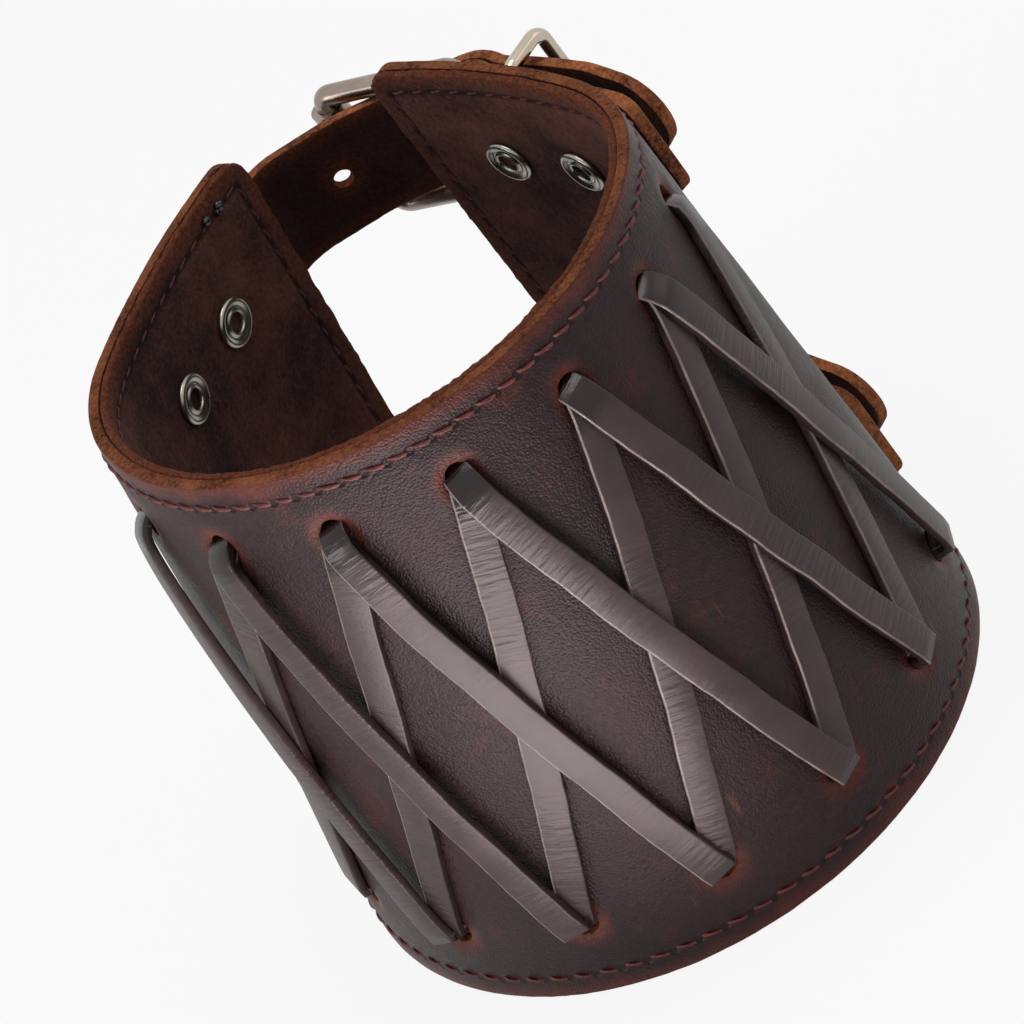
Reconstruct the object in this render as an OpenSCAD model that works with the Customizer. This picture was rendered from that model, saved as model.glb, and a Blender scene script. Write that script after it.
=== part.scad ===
// Laced leather bracer: an open, slightly conical cuff of two leather layers, laced across
// the front for show and closed behind by two buckled straps. It stands on its elbow rim.

/* [Cuff] */
// Height of the cuff from the elbow rim to the wrist rim
cuff_h = 100; // [96:1:106]
// Radius of the rounded front, on the outer face at the elbow rim
front_r = 53.5; // [52:0.5:55]
// Half of the angle that the rounded front covers
front_half_angle = 79; // [78:1:80]
// Radius of the tighter sides, on the outer face at the elbow rim
side_r = 42.5; // [41:0.5:44]
// Angle that each side covers
side_angle = 38; // [37:1:39]
// Radius of the nearly straight back legs, on the outer face at the elbow rim
leg_r = 140; // [130:5:150]
// Angle that each back leg covers
leg_angle = 20; // [19:0.5:20]
// How far the wall leans inward over the whole height
taper = 9.2; // [8:0.2:10]
// Thickness of the outer leather
outer_t = 2.0; // [1.8:0.1:2.4]
// Thickness of the suede lining
lining_t = 1.6; // [1.4:0.1:2]
// Radius of the four rounded corners beside the back gap
corner_r = 5; // [3:0.5:6]

/* [Lacing] */
// Width of the flat lace
lace_w = 4.7; // [4.2:0.1:5]
// Thickness of the flat lace
lace_t = 1.5; // [1.2:0.1:1.5]
// Diameter of the punched lace holes
lace_hole_d = 5.2; // [5:0.1:5.6]
// Spacing of the lace columns round the cuff
lace_pitch = 23.2; // [22:0.2:23.6]
// Sideways place of the middle column
lace_shift = 2.4; // [0:0.2:2.6]
// Distance of the upper row of holes below the wrist rim
top_row_in = 11.5; // [10:0.5:13]
// Height of the lower row of holes above the elbow rim
bottom_row_z = 13.5; // [12:0.5:16]

/* [Stitching] */
// Distance of the seam from the edges
seam_in = 3.7; // [3.4:0.1:3.8]
// Diameter of the waxed thread
thread_d = 0.9; // [0.7:0.1:1]

/* [Straps] */
// Width of both straps
strap_w = 20; // [18:0.5:20]
// Thickness of the strap leather
strap_t = 2.4; // [2.2:0.1:2.5]
// Distance of the wrist strap's middle below the wrist rim
wrist_strap_in = 18; // [16:0.5:20]
// Height of the elbow strap's middle above the elbow rim
elbow_strap_z = 15; // [15:0.5:18]
// Length of each buckle piece from its inner end to the end of the cuff's leg
chape_reach = 48.3; // [46:0.5:49]
// Length of the billet that lies on the left leg
billet_reach = 47.8; // [46:0.5:49]
// Length of the billet's tail beyond the heel bar, along the leg
tail_reach = 32; // [30:0.5:33]
// Distance of the first rivet from the end of the leg
rivet_first = 20.3; // [20:0.1:21]
// Distance between the two rivets of a strap end
rivet_pitch = 18; // [17:0.5:18]
// Diameter of the billet's punched holes
punch_d = 3; // [2.8:0.1:3.4]
// Spacing of the billet's punched holes
punch_pitch = 22; // [20:0.5:22.5]

/* [Buckle] */
// Diameter of the buckle frame's wire
frame_wire_d = 3.5; // [3.2:0.1:3.5]
// Distance between the heel bar and the roller bar
frame_reach = 25.6; // [25:0.2:27]
// Outer diameter of the roller
roller_d = 6; // [5.6:0.1:6.2]
// Diameter of the prong
prong_d = 2.4; // [2.1:0.1:2.5]
// Diameter of the keeper's wire
keeper_wire_d = 2.4; // [2:0.1:2.4]
// Distance of the heel bar from the end of the leg
heel_in = 11; // [10.8:0.1:11.4]

/* [Rivets] */
// Diameter of the rivet caps and bases
rivet_d = 8; // [7:0.5:8.5]
// Height of the domed cap
cap_h = 1.5; // [1.2:0.1:1.6]

/* [Hidden] */

$fn = 64;
// Room left between layers that lie on each other
lay = 0.1;
// Radial running clearance of a metal piece on its bar
run = 0.08;
// Room left where moving metal passes leather
pass = 0.4;
// Gap between the two layers of the folded buckle piece
layer_gap = 0.5;
// Extra length of a cutting tool beyond the face it cuts
cut = 1;
// Room beside the strap in the keeper, which leans with the wall while the tail doesn't
keeper_play = 1;
// Height of the thread, which is pulled flat on the leather
thread_h = thread_d - 2 * lay;

lean = taper / cuff_h;
lean_angle = atan(lean);
wall_t = outer_t + lining_t;
front_len = front_half_angle * PI / 180 * front_r;
side_len = side_angle * PI / 180 * side_r;
leg_len = leg_angle * PI / 180 * leg_r;
half_len = front_len + side_len + leg_len;
bounds = [-half_len, -front_len - side_len, -front_len, front_len, front_len + side_len, half_len];
// Angle of one step round the legs, round the front and sides, and round small bends
leg_step = 2.5;
arc_step = 4;
bend_step = 10;
side_end = front_half_angle + side_angle;
leg_end = side_end + leg_angle;

// Unit vector that points out of the wall where its outward direction has turned by t
function out(t) = [sin(t), -cos(t)];
// Unit vector along the wall at the same place
function along(t) = [cos(t), sin(t)];

front_c = [0, front_r];
side_c = front_c + (front_r - side_r) * out(front_half_angle);
leg_c = side_c + (side_r - leg_r) * out(side_end);

// Direction of the wall at the length u from the middle of the front, round the elbow rim
function turn_at(u) = let(d = abs(u)) sign(u) * (
    d < front_len ? d / front_r * 180 / PI :
    d < front_len + side_len ? front_half_angle + (d - front_len) / side_r * 180 / PI :
    side_end + (d - front_len - side_len) / leg_r * 180 / PI);
function arc_r(u) = abs(u) < front_len ? front_r : abs(u) < front_len + side_len ? side_r : leg_r;
function arc_c(u) = let(c = abs(u) < front_len ? front_c : abs(u) < front_len + side_len ? side_c : leg_c)
    [u < 0 ? -c[0] : c[0], c[1]];
// Plan point at the length u and height z, o beyond the outer face
function plan(u, z, o = 0) = arc_c(u) + (arc_r(u) + o - lean * z) * out(turn_at(u));
function spot(u, z, o = 0) = let(p = plan(u, z, o)) [p[0], p[1], z];

// A strip's path is a list of [radius, turn] arcs and [0, length] straight runs.
// A positive turn bends the strip round its inner face, a negative one the other way.
function seg_turn(s) = s[0] == 0 ? 0 : s[1];
function seg_move(s, t) = s[0] == 0 ? s[1] * along(t) :
    sign(s[1]) * s[0] * (out(t + s[1]) - out(t));
// Place and direction at the start of each run, then at the end of the path
function states(p, t, segs, i = 0) = i == len(segs) ? [[p, t]] :
    concat([[p, t]], states(p + seg_move(segs[i], t), t + seg_turn(segs[i]), segs, i + 1));
function path_end(p, t, segs) = states(p, t, segs)[len(segs)];
// The same worked back from a known end
function path_start(p, t, segs, i) = i < 0 ? [p, t] :
    let(t0 = t - seg_turn(segs[i])) path_start(p - seg_move(segs[i], t0), t0, segs, i - 1);

// Buckle and strap values in the plan of the heel bar: x along the leg, -y outward
chape_top = lay + 2 * strap_t + layer_gap;
heel_o = lay + strap_t + frame_wire_d / 2;
fold_r = frame_wire_d / 2;
billet_o = heel_o + fold_r + strap_t + lay;
low_o = chape_top + cap_h + 4 * lay;
heel_u = half_len - heel_in;
heel_turn = turn_at(heel_u);
bend_heel_r = 6;
bend_bar_r = 20;
bar_turn = 14;
bend_end_r = 9;
end_turn = 40;
heel_bend = 360 - leg_end - heel_turn - bar_turn - end_turn;
frame_r = frame_wire_d / 2;
roller_r = roller_d / 2;

// Straight run that puts the roller at the frame's reach from the heel bar
heel_start = (billet_o - heel_o) * out(0);
bend_done = heel_start + seg_move([bend_heel_r, heel_bend], 0);
half_bar = bar_turn / 2;
to_roller = bend_done + seg_move([bend_bar_r, half_bar], heel_bend)
    + (strap_t + pass + roller_r) * out(heel_bend + half_bar);
run_dir = along(heel_bend);
run_dot = to_roller * run_dir;
bar_run = -run_dot + sqrt(run_dot * run_dot - to_roller * to_roller + frame_reach * frame_reach);
roller_at = to_roller + bar_run * run_dir;
frame_angle = atan2(roller_at[1], roller_at[0]);

// Straight runs that bring the billet onto the left leg
function end_gap(z) = let(
    heel = plan(heel_u, z, billet_o),
    before = path_end(heel, heel_turn,
        [[bend_heel_r, heel_bend], [0, bar_run], [bend_bar_r, bar_turn]]),
    after = seg_move([bend_end_r, end_turn], before[1]),
    goal = plan(-half_len, z, lay)) goal - before[0] - after;
function end_runs(z) = let(
    g = end_gap(z),
    d1 = along(360 - leg_end - end_turn),
    d2 = along(360 - leg_end),
    det = d1[0] * d2[1] - d1[1] * d2[0])
    [(g[0] * d2[1] - g[1] * d2[0]) / det, (d1[0] * g[1] - d1[1] * g[0]) / det];

// Dip of the billet between the heel bar and the keeper, and rise of its tail
dip_angle = 20;
dip_r = (billet_o - low_o) / 2 / (1 - cos(dip_angle));
dip_len = 2 * dip_r * sin(dip_angle);
dip_turn = dip_len / leg_r * 180 / PI;
low_len = tail_reach - 2 * dip_len;
low_turn = low_len / leg_r * 180 / PI;
function tail_path(z) = [[dip_r, dip_angle + dip_turn], [dip_r, -dip_angle],
    [leg_r - lean * z + low_o, low_turn], [dip_r, -dip_angle], [dip_r, dip_angle + dip_turn]];
function billet_path(z) = let(e = end_runs(z)) [[bend_heel_r, heel_bend], [0, bar_run],
    [bend_bar_r, bar_turn], [0, e[0]], [bend_end_r, end_turn], [0, e[1]],
    [leg_r - lean * z + lay, (billet_reach / leg_r) * 180 / PI]];

wrist_z = cuff_h - wrist_strap_in;
elbow_z = elbow_strap_z;
top_row_z = cuff_h - top_row_in;
keeper_side = strap_w / 2 + keeper_play + keeper_wire_d / 2;
keeper_low = lay + strap_t + layer_gap / 2;
keeper_high = low_o + strap_t + 2 * pass + keeper_wire_d / 2;
// Room between the strap's edge and the frame, and bend of the wire's corners
side_room = 0.5;
frame_corner = 2;
keeper_corner = 2;
frame_half = strap_w / 2 + side_room + frame_r;
roller_half = frame_half - frame_corner - lay;
// Prong: its ring, then its root, crank and tip as places from the heel bar
prong_ring_t = 1.3;
prong_ring_r = frame_r + run + prong_ring_t;
prong_ring_h = 3;
prong_rest = roller_r + prong_d / 2 + lay;
prong_root = [1.7, -1.6];
prong_rise = [9.6, -5.3];
prong_end = [frame_reach + 2.4, -prong_rest - lay];

// The whole part is moved so that its origin is the middle of its footprint, which
// reaches from the laces in front to the tip of the elbow strap's prong behind
lace_over = 2 * (lace_t + lay);
lace_fall = 1.2;
// Distance of a hidden run from the middle of the hole that the other lace shares
run_in = 0.6;
front_y = lean * (bottom_row_z - lace_fall) - lace_over;
frame_turn = heel_turn + frame_angle;
back_y = plan(heel_u, elbow_z, heel_o)[1] + (prong_d + lay) / 2
    + prong_end[0] * along(frame_turn)[1] - prong_end[1] * out(frame_turn)[1];
origin_y = (front_y + back_y) / 2;

// Slot in the billet for the prong, measured from the end of the heel bend
slot_near = -1.3;
slot_len = 9.7;
slot_mid = slot_near + slot_len / 2;
bar_done = bar_run + bend_bar_r * bar_turn * PI / 180;
// Length of the billet's inner face from the slot's middle to the heel bar
slot_back = slot_mid + bend_heel_r * heel_bend * PI / 180;

first_rivet_u = half_len - rivet_first;
second_rivet_u = first_rivet_u - rivet_pitch;
post_d = 4.4;
post_bore_d = 3.3;
base_h = 0.9;
keeper_u = first_rivet_u - post_d / 2 - keeper_wire_d / 2 - pass;
keeper_travel = 6;

// Puts children on the wall: x along the cuff, -y out of it and z up its slope
module on_wall(u, z, o = 0) {
    translate(spot(u, z, o))
        rotate([-lean_angle, 0, turn_at(u)])
            children();
}

// Solid through a row of four-cornered sections; turned where they run anticlockwise as
// seen from the row's end
module loft(rings, turned = false) {
    last = 4 * (len(rings) - 1);
    sides = [for (i = [0 : 4 : last - 4], j = [0 : 3]) let(k = (j + 1) % 4)
        each [[i + j, i + 4 + k, i + k], [i + j, i + 4 + j, i + 4 + k]]];
    ends = [[0, 1, 2], [0, 2, 3], [last, last + 2, last + 1], [last, last + 3, last + 2]];
    faces = concat(sides, ends);
    polyhedron(points = [for (r = rings) each r],
        faces = turned ? [for (f = faces) [f[2], f[1], f[0]]] : faces);
}

// Places along a path, one for each step of an arc
function arc_steps(s) = s[0] == 0 ? 1 :
    ceil(abs(s[1]) / (s[0] > 60 ? leg_step : s[0] > 30 ? arc_step : bend_step));
function samples(p, t, segs) = let(at = states(p, t, segs)) concat(
    [for (i = [0 : len(segs) - 1], k = [0 : arc_steps(segs[i]) - 1]) let(
        part = k / arc_steps(segs[i]),
        piece = segs[i][0] == 0 ? [0, segs[i][1] * part] : [segs[i][0], segs[i][1] * part])
        k == 0 ? at[i] : [at[i][0] + seg_move(piece, at[i][1]), at[i][1] + seg_turn(piece)]],
    [at[len(segs)]]);

// Strip of leather along a path, o0 to o1 out from it, that leans with the wall about z_ref
module leaning_strip(p, t, segs, o0, o1, z0, z1, z_ref) {
    loft([for (q = samples(p, t, segs)) [for (c = [[o0, z0], [o1, z0], [o1, z1], [o0, z1]])
        let(f = q[0] + (c[0] - lean * (c[1] - z_ref)) * out(q[1])) [f[0], f[1], c[1]]]], turned = true);
}

// Outline of a strip of the thickness o1 along a path
function strip_outline(p, t, segs, o1) = let(q = samples(p, t, segs), n = len(q) - 1) concat(
    [for (i = [0 : n]) q[i][0]], [for (i = [n : -1 : 0]) q[i][0] + o1 * out(q[i][1])]);

// Lengths at which the wall's faces meet, from u0 to u1
grid = concat([-half_len],
    [for (i = [0 : 4]) let(len_i = bounds[i + 1] - bounds[i], r = arc_r((bounds[i] + bounds[i + 1]) / 2),
        n = arc_steps([r, len_i / r * 180 / PI])) each [for (k = [1 : n]) bounds[i] + len_i * k / n]]);
least_step = 0.3;
function grid_between(u0, u1) = concat([u0],
    [for (u = grid) if (u > u0 + least_step && u < u1 - least_step) u], [u1]);

// Part of the cuff's wall from the length u0 to u1
module wall(u0, u1, o0, o1, z0, z1) {
    loft([for (u = grid_between(u0, u1)) [spot(u, z0, o0), spot(u, z0, o1), spot(u, z1, o1), spot(u, z1, o0)]],
        turned = true);
}

// Band on the rounded front from the length u0 to u1, true to its cone
module front_band(u0, u1, o0, o1, z0, z1) {
    start = turn_at(u0);
    translate(front_c)
        rotate([0, 0, start - 90])
            rotate_extrude(angle = (u1 - u0) / front_r * 180 / PI)
                polygon([for (c = [[o0, z0], [o1, z0], [o1, z1], [o0, z1]])
                    [front_r + c[0] - lean * c[1], c[1]]]);
}

// Hole through the wall, square to its face
module wall_hole(u, z, d, o = 0) {
    on_wall(u, z)
        rotate([90, 0, 0])
            translate([0, 0, -wall_t - cut]) cylinder(d = d, h = o + wall_t + 2 * cut);
}

// Cuts a square corner of a sheet round; sx and sz say which way the corner points
module corner_cut(u, z, o, sx, sz, r) {
    deep = chape_top / 2 + cut;
    on_wall(u, z, o)
        translate([-sx * r, 0, -sz * r])
            rotate([90, 0, 0])
                difference() {
                    translate([sx > 0 ? 0 : -2 * r, sz > 0 ? 0 : -2 * r, -deep]) cube([2 * r, 2 * r, 2 * deep]);
                    translate([0, 0, -deep - cut]) cylinder(r = r, h = 2 * (deep + cut));
                }
}

module leg_corners(o) {
    for (side = [-1, 1]) {
        corner_cut(side * half_len, cuff_h, o, side, 1, corner_r);
        corner_cut(side * half_len, 0, o, side, -1, corner_r);
    }
}

function column_u(i) = lace_shift + (i - 3) * lace_pitch;

module lace_holes() {
    for (i = [0 : 6]) {
        wall_hole(column_u(i), top_row_z, lace_hole_d);
        wall_hole(column_u(i), bottom_row_z, lace_hole_d);
    }
}

module rivet_holes() {
    for (side = [-1, 1], z = [elbow_z, wrist_z], u = [first_rivet_u, second_rivet_u])
        wall_hole(side * u, z, post_d + 2 * run);
}

// Skived channels that hold the hidden runs of the lace between the two layers
module lace_channels() {
    deep = lace_t / 2 + lay / 2;
    high = lace_w / 2 + lay;
    for (z = [bottom_row_z, top_row_z])
        front_band(column_u(0) - high, column_u(6) + high,
            -outer_t - deep, -outer_t + deep, z - high, z + high);
}

// Seam round the panel, from o0 to o1 beyond its outer face
module seam(o0, o1) {
    half = thread_d / 2;
    end_u = half_len - seam_in;
    for (z = [seam_in, cuff_h - seam_in])
        wall(-end_u - half, end_u + half, o0, o1, z - half, z + half);
    for (u = [-end_u, end_u])
        wall(u - half, u + half, o0, o1, seam_in - half, cuff_h - seam_in + half);
}

// Needle holes at the corners, where the thread goes through both layers
module corner_needles(d) {
    for (side = [-1, 1], z = [seam_in, cuff_h - seam_in])
        on_wall(side * (half_len - seam_in), z, lay + thread_h / 2)
            rotate([-90, 0, 0]) cylinder(d = d, h = wall_t + 2 * lay + thread_h);
}

module outer_panel() color("#3a2826")
    difference() {
        wall(-half_len, half_len, -outer_t, 0, 0, cuff_h);
        leg_corners(-outer_t / 2);
        lace_holes();
        rivet_holes();
        lace_channels();
        corner_needles(thread_d + lay);
    }

module lining() color("#2b1b18")
    difference() {
        wall(-half_len, half_len, -wall_t, -outer_t, 0, cuff_h);
        leg_corners(-outer_t - lining_t / 2);
        rivet_holes();
        lace_channels();
        corner_needles(thread_d + lay);
    }

module edge_thread() color("#8c3a38") {
    seam(lay, lay + thread_h);
    seam(-wall_t - lay - thread_h, -wall_t - lay);
    corner_needles(thread_d - lay);
}

// Flat strand between two places on the rounded front, o above the leather
module strand(u0, z0, u1, z1, o, steps = 10) {
    slant = atan2(u1 - u0, z1 - z0);
    half = lace_w / 2;
    loft([for (i = [0 : steps]) [for (c = [[-1, 0], [-1, 1], [1, 1], [1, 0]]) let(
        k = i / steps,
        z = z0 + (z1 - z0) * k - c[0] * half * sin(slant),
        shrink = front_r / (front_r - lean * z),
        u = u0 + (u1 - u0) * k + c[0] * half * cos(slant) * shrink)
        spot(u, z, o + c[1] * lace_t)]]);
}

// Half of a round plug of lace in its hole, down to the middle of the hidden run; turn
// says which half it fills
module plug(u, z, o, turn) {
    low = outer_t;
    half = lace_hole_d / 2 - lay;
    on_wall(u, z)
        rotate([90, 0, 0])
            intersection() {
                translate([0, 0, -low]) cylinder(r = half, h = low + o);
                rotate([0, 0, turn])
                    translate([lay / 2, -half, -low - cut]) cube([half, 2 * half, low + o + 2 * cut]);
            }
}

// Flat run hidden between the layers, set in by inset from the lace's own faces
module hidden_run(u0, u1, z0, z1, inset = 0) {
    half = lace_t / 2 - inset;
    front_band(u0, u1, -outer_t - half, -outer_t + half, z0 + inset, z1 - inset);
}

// The crossing between the columns i and i + 1: one strand on top and one beneath it
module crossing(i) {
    a = column_u(i);
    b = column_u(i + 1);
    under_o = lay;
    over_o = 2 * lay + lace_t;
    plug_r = lace_hole_d / 2 - lay;
    fall = lace_fall;
    strand(a, top_row_z + fall, b, bottom_row_z - fall, over_o);
    strand(b, top_row_z - fall, a, bottom_row_z + plug_r + fall, under_o);
    plug(a, top_row_z, over_o + lace_t / 2, 90);
    plug(b, top_row_z, under_o + lace_t / 2, -90);
    plug(a, bottom_row_z, under_o + lace_t / 2, 0);
    plug(b, bottom_row_z, over_o + lace_t / 2, 180);
    on_wall(a, bottom_row_z)
        translate([lay / 2, -under_o - lace_t, 0]) cube([plug_r - lay, lace_t, plug_r + 2 * fall]);
    hidden_run(a + run_in, b - run_in, bottom_row_z - lace_w / 2, bottom_row_z + lace_w / 2);
}

// One lace makes every second crossing, with hidden runs along the upper row between them
module lace(first) {
    half = lace_w / 2;
    z = top_row_z;
    for (i = [first : 2 : 5])
        crossing(i);
    // A thinner step joins the lower run of one hole to the upper run of the next
    for (i = [first + 1 : 2 : 4]) {
        middle = (column_u(i) + column_u(i + 1)) / 2;
        hidden_run(column_u(i) - half, middle + half, z - half, z - run_in);
        hidden_run(middle - half, column_u(i + 1) + half, z + run_in, z + half);
        hidden_run(middle - run_in, middle + run_in, z - half, z + half, lay);
    }
}

module lace_a() color("#5b4a46") lace(1);
module lace_b() color("#5b4a46") lace(0);

// Puts children at the heel bar: x along the leg, -y outward, z along the bar
module at_heel(z) {
    on_wall(heel_u, z, heel_o) children();
}

// Puts children in the buckle frame, x from the heel bar to the roller bar
module in_frame(z) {
    at_heel(z) rotate([0, 0, frame_angle]) children();
}

// Puts children on the billet's inner face at the end of a path from the heel bar,
// with z out of the face
module on_billet(z, segs) {
    p = path_end(plan(heel_u, z, billet_o), heel_turn, concat([[bend_heel_r, heel_bend]], segs));
    translate([p[0][0], p[0][1], z])
        rotate([-lean_angle, 0, p[1]])
            rotate([90, 0, 0])
                children();
}

// Drill through the strap, from its inner face
module punch() {
    translate([0, 0, -cut]) cylinder(d = punch_d, h = strap_t + 2 * cut);
}

// Billet: riveted on the left leg, it crosses the gap under the roller and runs back over
// the buckle piece, with a rounded tail
module billet(z) {
    half = strap_w / 2;
    heel = plan(heel_u, z, billet_o);
    tail = tail_path(z);
    start = path_start(heel, heel_turn, tail, len(tail) - 1);
    path = concat(tail, billet_path(z));
    tail_rise = billet_o - low_o;
    slot_w = prong_d + 2 * pass;
    seam_room = thread_d + 2 * lay;
    color("#3d2826")
        difference() {
            leaning_strip(start[0], start[1], path, 0, strap_t, z - half, z + half, z);
            // Rounded tail, by a curve that crosses the strap's edges instead of touching them
            translate([start[0][0], start[0][1], z])
                rotate([-lean_angle, 0, start[1]])
                    rotate([90, 0, 0])
                        difference() {
                            translate([-cut, -half - cut, -tail_rise - cut])
                                cube([half + cut, strap_w + 2 * cut, strap_t + 2 * (tail_rise + cut)]);
                            translate([half + lay, 0, -tail_rise - 2 * cut])
                                cylinder(r = half + lay / 2, h = strap_t + 2 * (tail_rise + 2 * cut));
                        }
            // Slot that the prong goes through
            on_billet(z, [[0, slot_near]])
                translate([slot_w / 2, 0, -cut]) {
                    for (x = [0, slot_len - slot_w])
                        translate([x, 0, 0]) cylinder(d = slot_w, h = strap_t + 2 * cut);
                    translate([0, -slot_w / 2, 0]) cube([slot_len - slot_w, slot_w, strap_t + 2 * cut]);
                }
            // The next punched holes: one past the roller and one on the tail
            on_billet(z, [[0, bar_run], [bend_bar_r, bar_turn], [0, slot_mid + punch_pitch - bar_done]])
                punch();
            on_wall(heel_u - punch_pitch + slot_back, z, low_o)
                rotate([90, 0, 0]) punch();
            // Groove that the strap's pull has pressed over the seam
            on_wall(seam_in - half_len, z, lay)
                translate([-seam_room / 2, -thread_d - lay, -half - cut])
                    cube([seam_room, thread_d + lay + cut, strap_w + 2 * cut]);
            for (u = [first_rivet_u, second_rivet_u])
                wall_hole(-u, z, post_d + 2 * run, strap_t + lay);
        }
}

// Buckle piece: a short strap folded round the heel bar, riveted through both of its layers
module chape(z) {
    half = strap_w / 2;
    over_len = chape_reach - heel_in;
    step_r = 6;
    over_o = lay + strap_t + layer_gap;
    step = heel_o + fold_r - over_o;
    step_angle = acos(1 - step / 2 / step_r);
    step_len = 2 * step_r * sin(step_angle);
    step_turn = step_len / leg_r * 180 / PI;
    leg_at = leg_r - lean * z;
    flat_turn = (over_len - step_len) / leg_r * 180 / PI;
    over = [[leg_at + over_o, flat_turn], [step_r, -step_angle], [step_r, step_angle + step_turn]];
    top = fold_r * out(0);
    start = path_start(top, 0, over, len(over) - 1);
    back = [[fold_r, 180], [leg_at + heel_o - fold_r, -over_len / leg_r * 180 / PI]];
    end_r = 3;
    slot_w = prong_ring_h + 2 * pass;
    fold_out = fold_r + strap_t + cut;
    keeper_room = keeper_wire_d / 2 + lay;
    spare = 3 * lay;
    color("#3f2a27")
        difference() {
            at_heel(z)
                translate([0, 0, -half])
                    linear_extrude(strap_w)
                        polygon(strip_outline(start[0], start[1], concat(over, back), strap_t));
            // Bore in which the heel bar turns
            at_heel(z) translate([0, 0, -half - cut]) cylinder(r = fold_r + run, h = strap_w + 2 * cut);
            // Slot for the prong round the fold
            in_frame(z) {
                translate([0, 0, -slot_w / 2]) cylinder(r = prong_ring_r + pass, h = slot_w);
                translate([0, -fold_out, -slot_w / 2]) cube([fold_out, fold_out + prong_d, slot_w]);
            }
            for (u = [first_rivet_u, second_rivet_u])
                wall_hole(u, z, post_d + 2 * run, chape_top);
            // Seat that the first cap's rim has pressed where the leather rises to the fold
            on_wall(first_rivet_u, z)
                rotate([90, 0, 0])
                    translate([0, 0, chape_top - lay]) cylinder(d = rivet_d + 2 * run, h = step);
            // Channel between the two layers in which the keeper's bar slides, longer toward the
            // second rivet, because lengths round the cuff shrink with its height
            on_wall(keeper_u - keeper_travel / 2, z, keeper_low)
                translate([-keeper_travel / 2 - keeper_room - spare, -keeper_room, -half - cut])
                    cube([keeper_travel + 2 * keeper_room + spare, 2 * keeper_room, strap_w + 2 * cut]);
            for (sz = [-1, 1])
                corner_cut(half_len - chape_reach, z + sz * half, chape_top / 2, -1, sz, end_r);
        }
}

// Rounded rectangle of round wire in the x-z plane, from x0 to x1
module wire_loop(x0, x1, half_h, d, r) {
    for (sz = [-1, 1]) {
        translate([x0 + r, 0, sz * half_h]) rotate([0, 90, 0]) cylinder(d = d, h = x1 - x0 - 2 * r);
        for (end = [[x0, 1], [x1, -1]])
            translate([end[0] + end[1] * r, 0, sz * (half_h - r)])
                rotate([90, 0, 0])
                    rotate([0, 0, end[1] > 0 ? (sz > 0 ? 90 : 180) : (sz > 0 ? 0 : 270)])
                        rotate_extrude(angle = 90) translate([r, 0]) circle(d = d);
    }
    for (x = [x0, x1])
        translate([x, 0, -half_h + r]) cylinder(d = d, h = 2 * (half_h - r));
}

module buckle_frame(z) color("#a8a49c")
    in_frame(z) wire_loop(0, frame_reach, frame_half, frame_wire_d, frame_corner);

// Sheet metal tube that turns on the far bar
module buckle_roller(z) color("#b4b0a8")
    in_frame(z)
        translate([frame_reach, 0, -roller_half])
            difference() {
                cylinder(r = roller_r, h = 2 * roller_half);
                translate([0, 0, -cut]) cylinder(r = frame_r + run, h = 2 * roller_half + 2 * cut);
            }

// Round bar from a to b in the frame's plane, and the slightly larger knuckle at its end
module prong_bar(a, b) {
    d = b - a;
    translate([a[0], a[1], 0])
        rotate([0, 0, atan2(d[1], d[0])])
            rotate([0, 90, 0]) cylinder(d = prong_d, h = norm(d));
}
module prong_knuckle(p) {
    translate([p[0], p[1], 0]) sphere(d = prong_d + lay);
}

// Prong: a ring on the heel bar and a cranked bar that rests on the roller
module buckle_prong(z) color("#a8a49c")
    in_frame(z)
        difference() {
            union() {
                translate([0, 0, -prong_ring_h / 2]) cylinder(r = prong_ring_r, h = prong_ring_h);
                prong_bar(prong_root, prong_rise);
                prong_knuckle(prong_rise);
                prong_bar(prong_rise, prong_end);
                prong_knuckle(prong_end);
            }
            translate([0, 0, -prong_ring_h]) cylinder(r = frame_r + run, h = 2 * prong_ring_h);
        }

// Keeper: a wire ring whose inner bar lies between the two layers of the buckle piece
module keeper_ring(z) color("#b8b09c")
    on_wall(keeper_u, z)
        rotate([0, 0, -90])
            wire_loop(keeper_low, keeper_high, keeper_side, keeper_wire_d, keeper_corner);

// Rivets: a base with a hollow post from inside, and a domed cap pressed on from outside
module rivet_posts(side, z, stack) color("#8d8a84")
    for (u = [first_rivet_u, second_rivet_u])
        on_wall(side * u, z)
            rotate([90, 0, 0])
                translate([0, 0, -wall_t - lay])
                    difference() {
                        union() {
                            translate([0, 0, -base_h]) cylinder(d = rivet_d, h = base_h);
                            cylinder(d = post_d, h = wall_t + lay + stack);
                        }
                        translate([0, 0, -base_h - cut])
                            cylinder(d = post_bore_d, h = wall_t + lay + stack + base_h + 2 * cut);
                    }

module rivet_caps(side, z, stack) color("#8d8a84")
    for (u = [first_rivet_u, second_rivet_u])
        on_wall(side * u, z)
            rotate([90, 0, 0])
                translate([0, 0, stack])
                    rotate_extrude() {
                        dome_r = (rivet_d * rivet_d / 4 + cap_h * cap_h) / 2 / cap_h;
                        intersection() {
                            translate([0, cap_h - dome_r]) circle(r = dome_r, $fn = 128);
                            square([rivet_d / 2, cap_h]);
                        }
                        translate([0, -stack]) square([post_bore_d / 2, stack + lay]);
                    }

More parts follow.
